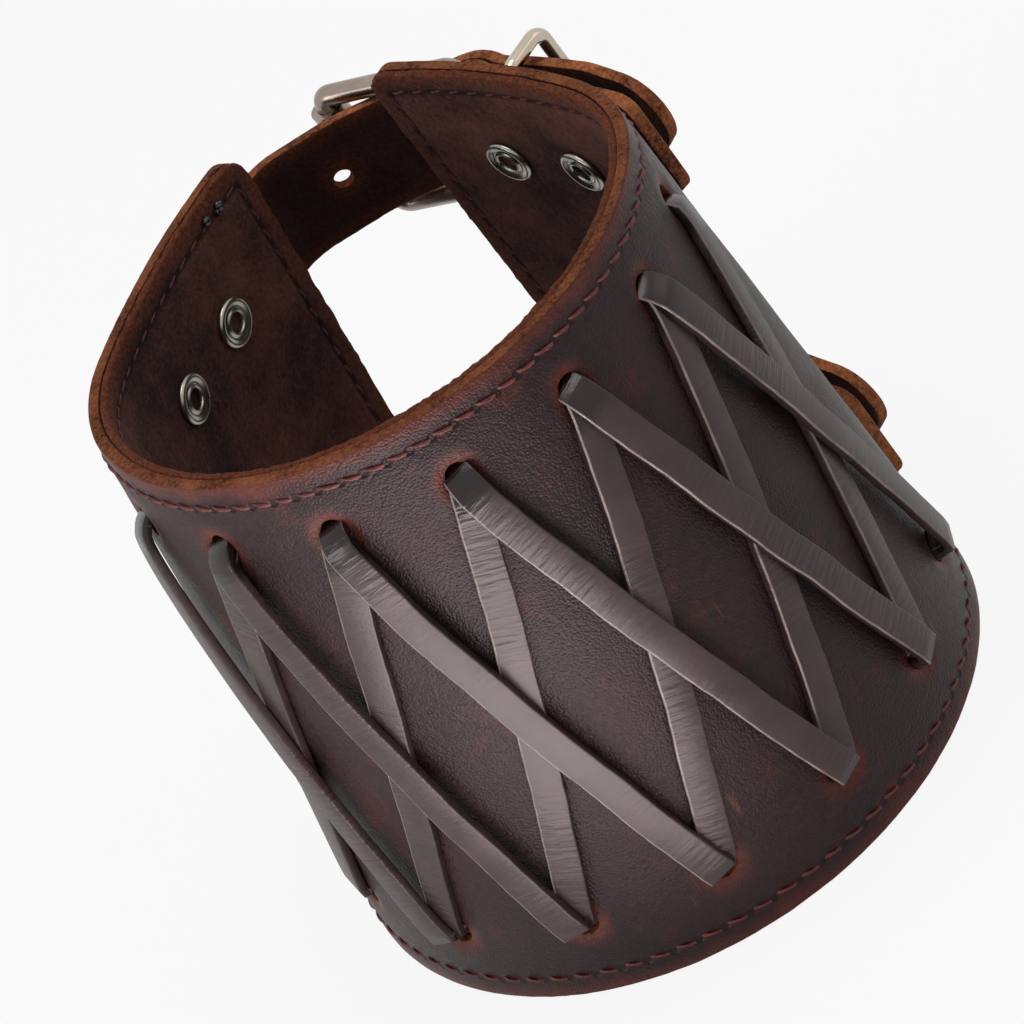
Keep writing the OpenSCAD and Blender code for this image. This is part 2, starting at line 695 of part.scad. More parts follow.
module wrist_billet() placed() billet(wrist_z);
module wrist_chape() placed() chape(wrist_z);
module wrist_buckle_frame() placed() buckle_frame(wrist_z);
module wrist_buckle_roller() placed() buckle_roller(wrist_z);
module wrist_buckle_prong() placed() buckle_prong(wrist_z);
module wrist_keeper_ring() placed() keeper_ring(wrist_z);
module wrist_billet_rivet_posts() placed() rivet_posts(-1, wrist_z, strap_t + lay);
module wrist_billet_rivet_caps() placed() rivet_caps(-1, wrist_z, strap_t + lay);
module wrist_chape_rivet_posts() placed() rivet_posts(1, wrist_z, chape_top);
module wrist_chape_rivet_caps() placed() rivet_caps(1, wrist_z, chape_top);
module elbow_billet() placed() billet(elbow_z);
module elbow_chape() placed() chape(elbow_z);
module elbow_buckle_frame() placed() buckle_frame(elbow_z);
module elbow_buckle_roller() placed() buckle_roller(elbow_z);
module elbow_buckle_prong() placed() buckle_prong(elbow_z);
module elbow_keeper_ring() placed() keeper_ring(elbow_z);
module elbow_billet_rivet_posts() placed() rivet_posts(-1, elbow_z, strap_t + lay);
module elbow_billet_rivet_caps() placed() rivet_caps(-1, elbow_z, strap_t + lay);
module elbow_chape_rivet_posts() placed() rivet_posts(1, elbow_z, chape_top);
module elbow_chape_rivet_caps() placed() rivet_caps(1, elbow_z, chape_top);

module placed() translate([0, -origin_y, 0]) children();

placed() outer_panel();
placed() lining();
placed() edge_thread();
placed() lace_a();
placed() lace_b();
wrist_billet();
wrist_chape();
wrist_buckle_frame();
wrist_buckle_roller();
wrist_buckle_prong();
wrist_keeper_ring();
wrist_billet_rivet_posts();
wrist_billet_rivet_caps();
wrist_chape_rivet_posts();
wrist_chape_rivet_caps();
elbow_billet();
elbow_chape();
elbow_buckle_frame();
elbow_buckle_roller();
elbow_buckle_prong();
elbow_keeper_ring();
elbow_billet_rivet_posts();
elbow_billet_rivet_caps();
elbow_chape_rivet_posts();
elbow_chape_rivet_caps();
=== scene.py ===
import math

import bmesh
import bpy
import numpy as np
from mathutils import Matrix, Vector, noise


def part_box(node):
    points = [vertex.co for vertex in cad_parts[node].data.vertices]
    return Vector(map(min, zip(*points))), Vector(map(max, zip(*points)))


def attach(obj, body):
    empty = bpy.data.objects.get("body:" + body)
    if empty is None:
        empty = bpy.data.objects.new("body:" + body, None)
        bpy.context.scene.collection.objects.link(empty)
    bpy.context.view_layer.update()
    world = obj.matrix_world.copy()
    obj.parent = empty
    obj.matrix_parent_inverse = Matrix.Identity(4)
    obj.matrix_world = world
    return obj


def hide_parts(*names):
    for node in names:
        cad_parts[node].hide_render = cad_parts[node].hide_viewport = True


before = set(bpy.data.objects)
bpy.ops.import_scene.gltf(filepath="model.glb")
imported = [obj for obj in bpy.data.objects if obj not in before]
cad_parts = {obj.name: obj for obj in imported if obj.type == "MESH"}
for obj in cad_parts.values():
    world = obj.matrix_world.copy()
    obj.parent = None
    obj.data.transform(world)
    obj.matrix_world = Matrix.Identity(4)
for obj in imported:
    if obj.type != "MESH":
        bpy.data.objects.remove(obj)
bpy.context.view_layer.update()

MM = 0.001

# Camera and studio. The bracer stands on its elbow rim on a white table, seen from above the
# laced front by a rolled camera. A panel on the table shows in the leather as a low highlight, a
# softbox on the left grazes the laces, and two lamps fill the hollow and the right.
stage = bpy.context.scene
stage.view_settings.view_transform = "Standard"
FOCAL_PIXELS = 4164.63
PICTURE = 1024
cam = bpy.data.cameras.new("camera")
cam.sensor_width = 36.0
cam.lens = cam.sensor_width * FOCAL_PIXELS / PICTURE
cam.clip_start, cam.clip_end = 0.05, 20
eye = bpy.data.objects.new("camera", cam)
stage.collection.objects.link(eye)
look = Vector((-0.1097, 0.8220, -0.5588)).normalized()
top = Vector((0.4965, 0.5324, 0.6856))
side = look.cross(top).normalized()
top = side.cross(look)
eye.matrix_world = Matrix((side, top, -look)).transposed().to_4x4()
eye.location = (0.06718, -0.51779, 0.39592)
stage.camera = eye


def lamp(name, place, aim, size, watts, tall=None):
    """Soft rectangular lamp at place, turned to aim, unseen by the camera."""
    data = bpy.data.lights.new(name, "AREA")
    data.shape = "RECTANGLE"
    data.size, data.size_y = size, tall or size
    data.energy = watts
    obj = bpy.data.objects.new(name, data)
    obj.location = place
    obj.visible_camera = False
    obj.rotation_euler = (Vector(aim) - Vector(place)).to_track_quat("-Z", "Y").to_euler()
    stage.collection.objects.link(obj)


lamp("front_panel", (-0.06, -0.185, 0.004), (-0.06, -0.185, 1.0), size=0.17, watts=0.74)
lamp("left_softbox", (-0.80, -0.42, 0.16), (0, 0, 0.04), size=0.45, watts=3.2, tall=0.5)
lamp("top_lamp", (0.05, -0.05, 1.05), (0, 0, 0.05), size=0.6, watts=4.2)
lamp("right_lamp", (0.85, -0.10, 0.55), (0, 0, 0.05), size=0.5, watts=0.5)


def shader_node(tree, kind, props=None, **sockets):
    """A node with its settings and its inputs, which are values or other nodes' outputs."""
    made = tree.nodes.new(kind)
    for key, value in (props or {}).items():
        setattr(made, key, value)
    for key, value in sockets.items():
        plug = made.inputs[int(key[1:]) if key[1:].isdigit() else key.replace("_", " ")]
        if isinstance(value, bpy.types.NodeSocket):
            tree.links.new(value, plug)
        else:
            plug.default_value = value
    return made


def new_finish(name, **settings):
    """A material with a Principled shader of the given settings, and its Object coordinates."""
    mat = bpy.data.materials.new(name)
    mat.use_nodes = True
    tree = mat.node_tree
    tree.nodes.clear()
    body = shader_node(tree, "ShaderNodeBsdfPrincipled", **settings)
    shader_node(tree, "ShaderNodeOutputMaterial", i0=body.outputs[0])
    return mat, tree, body, shader_node(tree, "ShaderNodeTexCoord").outputs["Object"]


def maths(tree, operation, *values):
    """The output of a Math node on values or outputs."""
    plugs = {"i%d" % k: value for k, value in enumerate(values)}
    return shader_node(tree, "ShaderNodeMath", {"operation": operation}, **plugs).outputs[0]


def backdrop_rays(tree):
    """1 for the rays that show the white backdrop: from the camera, metal and glass."""
    path = shader_node(tree, "ShaderNodeLightPath").outputs
    seen = maths(tree, "MAXIMUM", path["Is Camera Ray"], path["Is Glossy Ray"])
    return maths(tree, "MAXIMUM", seen, path["Is Transmission Ray"])


world = bpy.data.worlds.new("studio")
stage.world = world
world.use_nodes = True
tree = world.node_tree
tree.nodes.clear()
SKY_LIGHT, BACKDROP, TABLE_GLOW = 0.25, 1.0, 0.88
WHITE = (1, 1, 1, 1)
sky, white = (shader_node(tree, "ShaderNodeBackground", Color=WHITE, Strength=level).outputs[0]
              for level in (SKY_LIGHT, BACKDROP))
pick = shader_node(tree, "ShaderNodeMixShader", i0=backdrop_rays(tree), i1=sky, i2=white)
shader_node(tree, "ShaderNodeOutputWorld", i0=pick.outputs[0])

floor_mat, tree, body, co = new_finish("table_white", Base_Color=(0.86, 0.86, 0.86, 1),
                                       Roughness=0.9)
glow = shader_node(tree, "ShaderNodeEmission", Color=WHITE, Strength=BACKDROP)
part = maths(tree, "MULTIPLY", backdrop_rays(tree), TABLE_GLOW)
both = shader_node(tree, "ShaderNodeMixShader", i0=part, i1=body.outputs[0], i2=glow.outputs[0])
tree.links.new(both.outputs[0], tree.nodes["Material Output"].inputs[0])
floor_mesh = bpy.data.meshes.new("table")
TABLE_HALF, TABLE_Z = 3.0, -0.0002
corners = [(x * TABLE_HALF, y * TABLE_HALF, TABLE_Z)
           for x, y in ((-1, -1), (1, -1), (1, 1), (-1, 1))]
floor_mesh.from_pydata(corners, [], [(0, 1, 2, 3)])
table = bpy.data.objects.new("table", floor_mesh)
table.data.materials.append(floor_mat)
stage.collection.objects.link(table)


# Outer panel: one piece of oiled grain leather, 2 mm thick, with two rows of seven punched lace
# holes, rounded corners beside the back gap, and raw cut edges.
FRONT_R, SIDE_R, LEG_R = 53.5, 42.5, 140.0
FRONT_TURN, SIDE_TURN, LEG_TURN = map(math.radians, (79, 38, 20))
FRONT_LEN, SIDE_LEN, LEG_LEN = FRONT_TURN * FRONT_R, SIDE_TURN * SIDE_R, LEG_TURN * LEG_R
HALF_LEN = FRONT_LEN + SIDE_LEN + LEG_LEN
CUFF_H = 100.0
LEAN = 9.2 / CUFF_H
OUTER_T, LINING_T, GLUE = 2.0, 1.6, 0.02
WALL_T = OUTER_T + LINING_T
CORNER_R = 5.0
HOLE_R = 2.6
TOP_ROW, LOW_ROW = CUFF_H - 11.5, 13.5
COLUMNS = [2.4 + (i - 3) * 23.2 for i in range(7)]
MIDDLE_Y = -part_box("outer_panel")[0].y / MM


def facing(t):
    """Outward direction where the wall has turned by t, seen from above."""
    return np.stack([np.sin(t), -np.cos(t)], -1)


def heading(t):
    """Direction along the wall where it has turned by t."""
    return np.stack([np.cos(t), np.sin(t)], -1)


FRONT_C = np.array([0.0, FRONT_R])
SIDE_C = FRONT_C + (FRONT_R - SIDE_R) * facing(FRONT_TURN)
LEG_C = SIDE_C + (SIDE_R - LEG_R) * facing(FRONT_TURN + SIDE_TURN)


def wall_turn(u):
    """Direction of the wall at the length u round the elbow rim, and its radius and centre."""
    d = np.abs(u)
    on_front, on_side = d < FRONT_LEN, d < FRONT_LEN + SIDE_LEN
    turn = np.where(on_front, d / FRONT_R, np.where(
        on_side, FRONT_TURN + (d - FRONT_LEN) / SIDE_R,
        FRONT_TURN + SIDE_TURN + (d - FRONT_LEN - SIDE_LEN) / LEG_R))
    radius = np.where(on_front, FRONT_R, np.where(on_side, SIDE_R, LEG_R))
    centre = np.where(on_front[..., None], FRONT_C, np.where(on_side[..., None], SIDE_C, LEG_C))
    return turn, radius, centre


def on_wall(u, z, o):
    """Places on the cuff, in metres: u round it, z up and o out of the panel's face."""
    u, z, o = np.broadcast_arrays(*(np.asarray(k, float) for k in (u, z, o)))
    turn, radius, centre = wall_turn(u)
    reach = radius + o - LEAN * z
    p = centre + reach[..., None] * facing(turn)
    x = np.where(u < 0, -p[..., 0], p[..., 0])
    return np.stack([x, p[..., 1] - MIDDLE_Y, z], -1) * MM


def speckle(points, size, seed=0.0):
    """Soft noise between -1 and 1 at points in millimetres, with bumps of about size."""
    return np.array([noise.noise(Vector((u / size + seed, v / size - seed, seed)))
                     for u, v in points])


def steps(*runs):
    """Grid lines through the given places, each stretch cut into near-equal cells."""
    lines = []
    for a, b, cell in runs:
        n = max(1, round((b - a) / cell))
        lines += [a + (b - a) * k / n for k in range(n)]
    return np.array(lines + [runs[-1][1]])


def add_map(mesh, layer, uv):
    """UV map of the given name, from one pair of values for each vertex."""
    corner = np.zeros(len(mesh.loops), np.int32)
    mesh.loops.foreach_get("vertex_index", corner)
    mesh.uv_layers.new(name=layer).data.foreach_set("uv", uv[corner].astype(np.float32).ravel())


def smooth_piece(name, mesh, finishes):
    """Object in the scene, of a smooth-shaded mesh with the given finishes."""
    mesh.polygons.foreach_set("use_smooth", np.ones(len(mesh.polygons), bool))
    for finish in finishes:
        mesh.materials.append(finish)
    obj = bpy.data.objects.new(name, mesh)
    stage.collection.objects.link(obj)
    return obj


# Rings of points round a hole, and an edge's rounding, as shares of their reach
HOLE_ROWS = (0.6, 0.33, 0.14, 0.0)
EDGE_PROFILE = ((0.45, 0.12), (0.85, 0.42), (1.0, 1.0))
ROUNDING_CUT, RAGGED_SIZE = 0.45, 1.1


def leather_sheet(name, place, us, vs, face, back, finishes, holes, corner_r, soft, ragged, seed,
                  tips=((0, 0), (0, 1), (1, 0), (1, 1))):
    """Closed sheet of leather over a grid of (u, v), with holes and rounded, raw cut edges.

    place puts (u, v, o) in space; face and back give o on the two sides. A hole is
    (u, v, window, half_length, radius), with its window on grid lines. soft is the reach of
    the edge's rounding, ragged its roughness, and tips the rounded corners. The attribute cut
    is 1 on cut edges, and rim is the distance to one. A second finish goes on the back.
    """
    nu, nv = len(us), len(vs)
    lo = np.array([us[0], vs[0]])
    hi = np.array([us[-1], vs[-1]])
    uv = np.stack(np.meshgrid(us, vs, indexing="ij"), -1).reshape(-1, 2).astype(float)
    r = corner_r - soft
    for tip in np.array(tips):
        sign = 2 * tip - 1
        c = np.where(tip, hi, lo) - r * sign
        q = (uv - c) * sign / r
        inside = (q[:, 0] > 0) & (q[:, 1] > 0)
        q = q[inside]
        uv[inside] = c + q * np.sqrt(1 - q[:, ::-1] ** 2 / 2) * r * sign
    at = lambda i, j: i * nv + j

    def around(i0, i1, j0, j1):
        """Grid points round a block of cells."""
        ring = [at(i, j0) for i in range(i0, i1)] + [at(i1, j) for j in range(j0, j1)]
        ring += [at(i, j1) for i in range(i1, i0, -1)] + [at(i0, j) for j in range(j1, j0, -1)]
        return ring

    drop = np.zeros((nu - 1, nv - 1), bool)
    points = [uv]
    count = len(uv)
    quads = []
    loops = [(around(0, nu - 1, 0, nv - 1), 1)]
    for hu, hv, window, half, radius in holes:
        i0, i1 = np.argmin(abs(us - (hu - window[0]))), np.argmin(abs(us - (hu + window[0])))
        j0, j1 = np.argmin(abs(vs - (hv - window[1]))), np.argmin(abs(vs - (hv + window[1])))
        drop[i0:i1, j0:j1] = True
        outer = around(i0, i1, j0, j1)
        far = uv[outer] - (hu, hv)
        core = np.clip(far[:, 0] * half / window[0], -half, half)
        ray = far - np.stack([core, 0 * core], -1)
        rim = ray / np.linalg.norm(ray, axis=1)[:, None] * (radius + soft)
        rim += np.stack([core, 0 * core], -1)
        last = outer
        for w in HOLE_ROWS:
            points.append((hu, hv) + rim + (far - rim) * w)
            now = list(range(count, count + len(outer)))
            count += len(outer)
            quads += [(last[k - 1], last[k], now[k], now[k - 1]) for k in range(len(now))]
            last = now
        loops.append((last, -1))
    for i in range(nu - 1):
        for j in range(nv - 1):
            if not drop[i, j]:
                quads.append((at(i, j), at(i + 1, j), at(i + 1, j + 1), at(i, j + 1)))
    uv = np.concatenate(points)
    used = np.zeros(count, bool)
    used[np.array(quads).ravel()] = True
    f_o, b_o = face(uv), back(uv)
    all_uv, all_o = [uv, uv], [f_o, b_o]
    cut = [np.zeros(count), np.zeros(count)]
    faces = list(quads) + [tuple(count + k for k in reversed(q)) for q in quads]
    total = 2 * count
    for ring, sign in loops:
        p = uv[ring]
        t = np.roll(p, -1, 0) - np.roll(p, 1, 0)
        n = np.stack([t[:, 1], -t[:, 0]], -1)
        n /= np.linalg.norm(n, axis=1)[:, None] + 1e-9
        n *= sign
        thick = f_o[ring] - b_o[ring]
        rows = [(e * soft, d * soft, False) for e, d in EDGE_PROFILE] + [(soft, None, False)]
        rows += [(e * soft, d * soft, True) for e, d in reversed(EDGE_PROFILE)]
        rings, size = [ring], len(ring)
        for k, (reach, depth, on_back) in enumerate(rows):
            raw = 0 < k < len(rows) - 1
            rough = ragged * speckle(p, RAGGED_SIZE, seed + k * 3.7) if raw else np.zeros(size)
            q = p + n * (reach + rough)[:, None]
            all_uv.append(q)
            if depth is None:
                all_o.append(f_o[ring] - thick / 2)
            else:
                all_o.append(b_o[ring] + depth if on_back else f_o[ring] - depth)
            cut.append(np.full(size, 1.0 if raw else ROUNDING_CUT))
            rings.append(range(total, total + size))
            total += size
        rings.append([count + m for m in ring])
        for last, now in zip(rings, rings[1:]):
            for m in range(size):
                m2 = (m + 1) % size
                quad = (last[m], now[m], now[m2], last[m2])
                faces.append(quad if sign > 0 else quad[::-1])
    all_uv, all_o, cut = np.concatenate(all_uv), np.concatenate(all_o), np.concatenate(cut)
    d = np.minimum(all_uv - lo, hi - all_uv).min(1) + soft
    for hu, hv, window, half, radius in holes:
        core = np.clip(all_uv[:, 0] - hu, -half, half)
        d = np.minimum(d, np.hypot(all_uv[:, 0] - hu - core, all_uv[:, 1] - hv) - radius)
    keep = np.concatenate([used, used, np.ones(total - 2 * count, bool)])
    new = np.cumsum(keep) - 1
    mesh = bpy.data.meshes.new(name)
    xyz = place(all_uv[:, 0], all_uv[:, 1], all_o)[keep]
    mesh.from_pydata(xyz.tolist(), [], [[int(new[k]) for k in f] for f in faces])
    for label, values in (("cut", cut), ("rim", np.clip(d, 0, None))):
        attr = mesh.attributes.new(label, "FLOAT", "POINT")
        attr.data.foreach_set("value", values[keep].astype(np.float32))
    add_map(mesh, "flat", all_uv[keep] * MM)
    obj = smooth_piece(name, mesh, finishes)
    flesh = np.zeros(len(mesh.polygons), np.int32)
    flesh[len(quads):2 * len(quads)] = len(finishes) - 1
    mesh.polygons.foreach_set("material_index", flesh)
    mesh.update()
    return obj, all_uv[keep]


SEAM_IN = 3.7
SEAM_END = HALF_LEN - SEAM_IN
SEAM_TOP = CUFF_H - SEAM_IN
STITCH = 4.25
SEAM_CORNERS = np.array([(-SEAM_END, SEAM_IN), (SEAM_END, SEAM_IN), (SEAM_END, SEAM_TOP),
                         (-SEAM_END, SEAM_TOP)])
SEAM_SIDES = list(zip(SEAM_CORNERS, np.roll(SEAM_CORNERS, -1, 0)))


def seam_place(uv):
    """Stitch count along the nearest side of the seam and distance from it, in millimetres."""
    index, away = np.zeros(len(uv)), np.full(len(uv), 1e9)
    first = 0
    for a, b in SEAM_SIDES:
        length = np.linalg.norm(b - a)
        n = round(length / STITCH)
        run = (b - a) / length
        s = np.clip((uv - a) @ run, 0, length)
        d = uv - a - s[:, None] * run
        dist = np.hypot(d[:, 0], d[:, 1])
        side = d @ np.array([run[1], -run[0]])
        near = dist < np.abs(away)
        index = np.where(near, first + s / length * n, index)
        away = np.where(near, np.where(side < 0, -dist, dist), away)
        first += n
    return index, away


RIVET_U = (HALF_LEN - 20.3, HALF_LEN - 38.3)
WRIST_Z, ELBOW_Z = CUFF_H - 18.0, 15.0
STRAPS = (("wrist", WRIST_Z), ("elbow", ELBOW_Z))
# Depths in millimetres to which the seam, the laces and the rivets press the grain
SEAM_PULL, HOLE_DENT, RIVET_DENT = 0.16, 0.30, 0.12


def near_rivets(uv, reach):
    """1 at the rivets, falling to 0 at about the given reach."""
    return sum(np.exp(-(np.hypot(np.abs(uv[:, 0]) - u, uv[:, 1] - z) / reach) ** 4)
               for u in RIVET_U for z in (WRIST_Z, ELBOW_Z))


def panel_relief(uv, seed, swell):
    """Slow waves of a worn hide, the pull of the seam, and dents at holes and rivets."""
    o = swell * speckle(uv, 17.0, seed) + 0.4 * swell * speckle(uv, 6.0, seed + 5)
    index, away = seam_place(uv)
    o -= SEAM_PULL * np.exp(-(away / 0.9) ** 2)
    o += 0.05 * np.cos(index * 2 * math.pi) * np.exp(-((np.abs(away) - 1.0) / 1.0) ** 2)
    for u in COLUMNS:
        for z in (TOP_ROW, LOW_ROW):
            d = np.hypot(uv[:, 0] - u, uv[:, 1] - z) - HOLE_R
            o -= HOLE_DENT * np.exp(-(np.clip(d, 0, None) / 0.9) ** 2)
            o += 0.10 * np.exp(-((d - 2.6) / 1.5) ** 2)
    return o - RIVET_DENT * near_rivets(uv, 5.2)


def times(tree, first, second, more=0.0):
    """The output of first * second + more."""
    return maths(tree, "MULTIPLY_ADD", first, second, more)


def weighed(tree, first, second):
    """Six parts of the first and four of the second."""
    return times(tree, first, 0.6, times(tree, second, 0.4))


def clouds(tree, place, scale, detail, rough=0.5):
    """Noise about 0.5 with the given scale, per metre."""
    return shader_node(tree, "ShaderNodeTexNoise", Vector=place, Scale=scale, Detail=detail,
                       Roughness=rough).outputs[0]


def carried(tree, value, low, high, bottom=0.0, top=1.0, smooth=True):
    """The value taken from low..high to bottom..top, and held at both ends."""
    return shader_node(
        tree, "ShaderNodeMapRange", {"interpolation_type": "SMOOTHSTEP" if smooth else "LINEAR"},
        Value=value, From_Min=low, From_Max=high, To_Min=bottom, To_Max=top).outputs[0]


def attribute(tree, name):
    """The value of a mesh's attribute."""
    return shader_node(tree, "ShaderNodeAttribute", {"attribute_name": name}).outputs["Fac"]


def cells(tree, place, scale, feature="F1", **sockets):
    """Distance of a Voronoi texture with the given scale, per metre."""
    return shader_node(tree, "ShaderNodeTexVoronoi", {"feature": feature}, Vector=place,
                       Scale=scale, **sockets).outputs["Distance"]


def map_values(tree, layer):
    """The vector of a UV map, and its two values."""
    place = shader_node(tree, "ShaderNodeUVMap", {"uv_map": layer}).outputs[0]
    return place, *shader_node(tree, "ShaderNodeSeparateXYZ", Vector=place).outputs[:2]


def ramp(tree, value, low, high, dark, light):
    """Colour that goes from dark at low to light at high."""
    made = shader_node(tree, "ShaderNodeValToRGB", Fac=value)
    for stop, at, shade in zip(made.color_ramp.elements, (low, high), (dark, light)):
        stop.position, stop.color = at, (*shade, 1)
    return made.outputs[0]


def blended(tree, share, under, over, how="MIX"):
    """Colour under with a share of over, which is a colour or an output."""
    if not isinstance(over, bpy.types.NodeSocket):
        over = (*over, 1)
    return shader_node(tree, "ShaderNodeMix", {"data_type": "RGBA", "blend_type": how},
                       Factor=share, i6=under, i7=over).outputs[2]


def relief(tree, body, height, strength, distance):
    """Bump of the given height on the shader."""
    bump = shader_node(tree, "ShaderNodeBump", Height=height, Strength=strength, Distance=distance)
    tree.links.new(bump.outputs[0], body.inputs["Normal"])


def grain_finish(name, dark, brown, red, cut_dark, cut_bright, seam=False, gloss=0.42):
    """Oiled leather: pebbled dark grain, redder at edges and scuffs, an orange cut edge, and where
    it has a seam, a pressed line with needle holes as near-black pits of painted shade."""
    mat, tree, body, co = new_finish(name, Specular_IOR_Level=0.20,
                                     Specular_Tint=(1.0, 0.83, 0.86, 1))
    blotch = clouds(tree, co, 38.0, 4.0, 0.6)
    wide = clouds(tree, co, 120.0, 3.0, 0.6)
    fine = clouds(tree, co, 950.0, 2.0, 0.55)
    fibre = clouds(tree, co, 1300.0, 4.0, 0.8)
    pebble = cells(tree, co, 2600.0, "SMOOTH_F1", Smoothness=0.35)
    wrinkle = cells(tree, co, 1500.0, "DISTANCE_TO_EDGE")
    rim, cut = attribute(tree, "rim"), attribute(tree, "cut")

    # Skin: brown clouds on dark, then red where the edge or a scuff pulls the oil out
    skin = ramp(tree, blotch, 0.34, 0.72, dark, brown)
    from_edge = times(tree, wide, -2.6, rim)
    skin = blended(tree, carried(tree, from_edge, 1.9, -1.5, 0.0, 0.9), skin, red)
    skin = blended(tree, carried(tree, wide, 0.58, 0.80, 0.0, 0.5, smooth=False), skin, red)
    pores = ramp(tree, fine, 0.36, 0.62, (0.55, 0.5, 0.5), (1.25, 1.25, 1.25))
    skin = blended(tree, 0.55, skin, pores, "MULTIPLY")

    # Scratches: thin light lines where a noise, stretched one way, rises above a level
    turn = shader_node(tree, "ShaderNodeMapping", Vector=co, Rotation=(0.5, 0.9, 0.3),
                       Scale=(1500, 1500, 170))
    nick = clouds(tree, turn.outputs[0], 0.35, 1.0)
    nick = carried(tree, nick, 0.75, 0.79, 0.0, 0.42, smooth=False)
    skin = blended(tree, nick, skin, [c * 0.45 for c in cut_bright])

    # Cut edge: bare fibres with dark and bright stretches
    edge = carried(tree, times(tree, fibre, 0.30, cut), 0.72, 1.0)
    skin = blended(tree, edge, skin, ramp(tree, weighed(tree, fibre, wide), 0.39, 0.62,
                                          cut_dark, cut_bright))
    height = times(tree, pebble, -0.95, times(tree, fine, 0.5))
    height = times(tree, maths(tree, "MINIMUM", wrinkle, 0.12), 0.9, height)
    height = times(tree, times(tree, fibre, edge), 3.2, height)

    if seam:
        # The map's first value counts stitches, the second is the distance from the seam in mm
        count, across = map_values(tree, "seam")[1:]
        along = times(tree, maths(tree, "PINGPONG", count, 0.5), STITCH)
        wide_of = times(tree, times(tree, across, across), 1.6)
        reach = maths(tree, "SQRT", times(tree, along, along, wide_of))
        needle_pit_shade = carried(tree, reach, 1.10, 0.45)
        pressed = carried(tree, maths(tree, "ABSOLUTE", across), 1.1, 0.1, 0.0, 0.55)
        stain = times(tree, pressed, maths(tree, "ADD", wide, 0.1))
        skin = blended(tree, stain, skin, (red[0] * 1.1, red[1] * 0.55, red[2] * 0.5))
        # Needle holes: near-black pits of painted shade, also sunk in the bump
        skin = blended(tree, needle_pit_shade, skin, (0.004, 0.0015, 0.001))
        height = times(tree, needle_pit_shade, -3.5, height)
    tree.links.new(skin, body.inputs["Base Color"])
    rough = carried(tree, weighed(tree, blotch, fine), 0.3, 0.7, gloss - 0.08, gloss + 0.14,
                    smooth=False)
    dull = shader_node(tree, "ShaderNodeMix", Factor=edge, i2=rough, i3=0.93)
    tree.links.new(dull.outputs[0], body.inputs["Roughness"])
    relief(tree, body, height, 0.68, 0.00015)
    return mat


grain = grain_finish(
    "grain_leather", (0.0115, 0.0062, 0.0066), (0.030, 0.0130, 0.0125), (0.095, 0.021, 0.013),
    (0.035, 0.008, 0.004), (0.33, 0.110, 0.043), seam=True)
EDGE_SOFT = 0.35
WINDOW, CELL, HOLE_CELL = 5.0, 1.15, 1.25
holes = [(u, z, (WINDOW, WINDOW), 0.0, HOLE_R) for u in COLUMNS for z in (TOP_ROW, LOW_ROW)]
u_runs, at_u = [], -HALF_LEN + EDGE_SOFT
for u in COLUMNS:
    u_runs += [(at_u, u - WINDOW, CELL), (u - WINDOW, u + WINDOW, HOLE_CELL)]
    at_u = u + WINDOW
u_runs.append((at_u, HALF_LEN - EDGE_SOFT, CELL))
v_runs = [(EDGE_SOFT, LOW_ROW - WINDOW, 1.1), (LOW_ROW - WINDOW, LOW_ROW + WINDOW, HOLE_CELL),
          (LOW_ROW + WINDOW, TOP_ROW - WINDOW, CELL),
          (TOP_ROW - WINDOW, TOP_ROW + WINDOW, HOLE_CELL),
          (TOP_ROW + WINDOW, CUFF_H - EDGE_SOFT, 1.05)]
panel, uv = leather_sheet(
    "panel_leather", on_wall, steps(*u_runs), steps(*v_runs),
    lambda q: -0.06 + panel_relief(q, seed=3.0, swell=0.16),
    lambda q: np.full(len(q), -OUTER_T + GLUE), [grain], holes, CORNER_R, EDGE_SOFT, ragged=0.07,
    seed=2.0)
add_map(panel.data, "seam", np.stack(seam_place(uv), -1))
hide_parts("outer_panel")
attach(panel, "cuff")


# Lining: a split suede glued and stitched inside the panel, to the same outline, with a dark nap
# and a fuzzy raw edge.
def suede_finish(name, dark, light, red, seam=False):
    """Split leather's nap: mottled, matt, redder toward its edges, with a dark line at a seam."""
    mat, tree, body, co = new_finish(name, Roughness=0.95, Specular_IOR_Level=0.08,
                                     Sheen_Weight=0.05, Sheen_Roughness=0.5)
    cloud = clouds(tree, co, 55.0, 5.0, 0.65)
    tuft = clouds(tree, co, 420.0, 3.0, 0.7)
    nap = clouds(tree, co, 1500.0, 4.0, 0.8)
    hair = cells(tree, co, 1100.0)
    skin = ramp(tree, weighed(tree, cloud, nap), 0.41, 0.62, dark, light)
    from_edge = times(tree, cloud, -3.0, attribute(tree, "rim"))
    near_edge = carried(tree, from_edge, 2.4, -1.8, 0.0, 0.95)
    fuzz = ramp(tree, nap, 0.35, 0.68, (red[0] * 0.25, red[1] * 0.25, red[2] * 0.3), red)
    skin = blended(tree, near_edge, skin, fuzz)
    if seam:
        across = map_values(tree, "seam")[2]
        pressed = carried(tree, maths(tree, "ABSOLUTE", across), 0.9, 0.1, 0.0, 0.8)
        skin = blended(tree, pressed, skin, (0.008, 0.003, 0.003))
    tree.links.new(skin, body.inputs["Base Color"])
    height = times(tree, hair, -0.5, times(tree, tuft, 1.6, nap))
    relief(tree, body, height, 1.0, 0.00030)
    return mat


LINING_SOFT = 0.55


def lining_back(q):
    """Nap side of the lining: soft waves, a raised edge, and dents at the seam and rivets."""
    away = seam_place(q)[1]
    o = -WALL_T + 0.10 * speckle(q, 15.0, 8.0) + 0.05 * speckle(q, 2.2, 4.0)
    edge = np.minimum(HALF_LEN - np.abs(q[:, 0]), np.minimum(q[:, 1], CUFF_H - q[:, 1]))
    o += 0.35 * np.exp(-(edge / 1.3) ** 2)
    return o + 0.28 * np.exp(-(away / 0.8) ** 2) + 0.10 * near_rivets(q, 5.0)


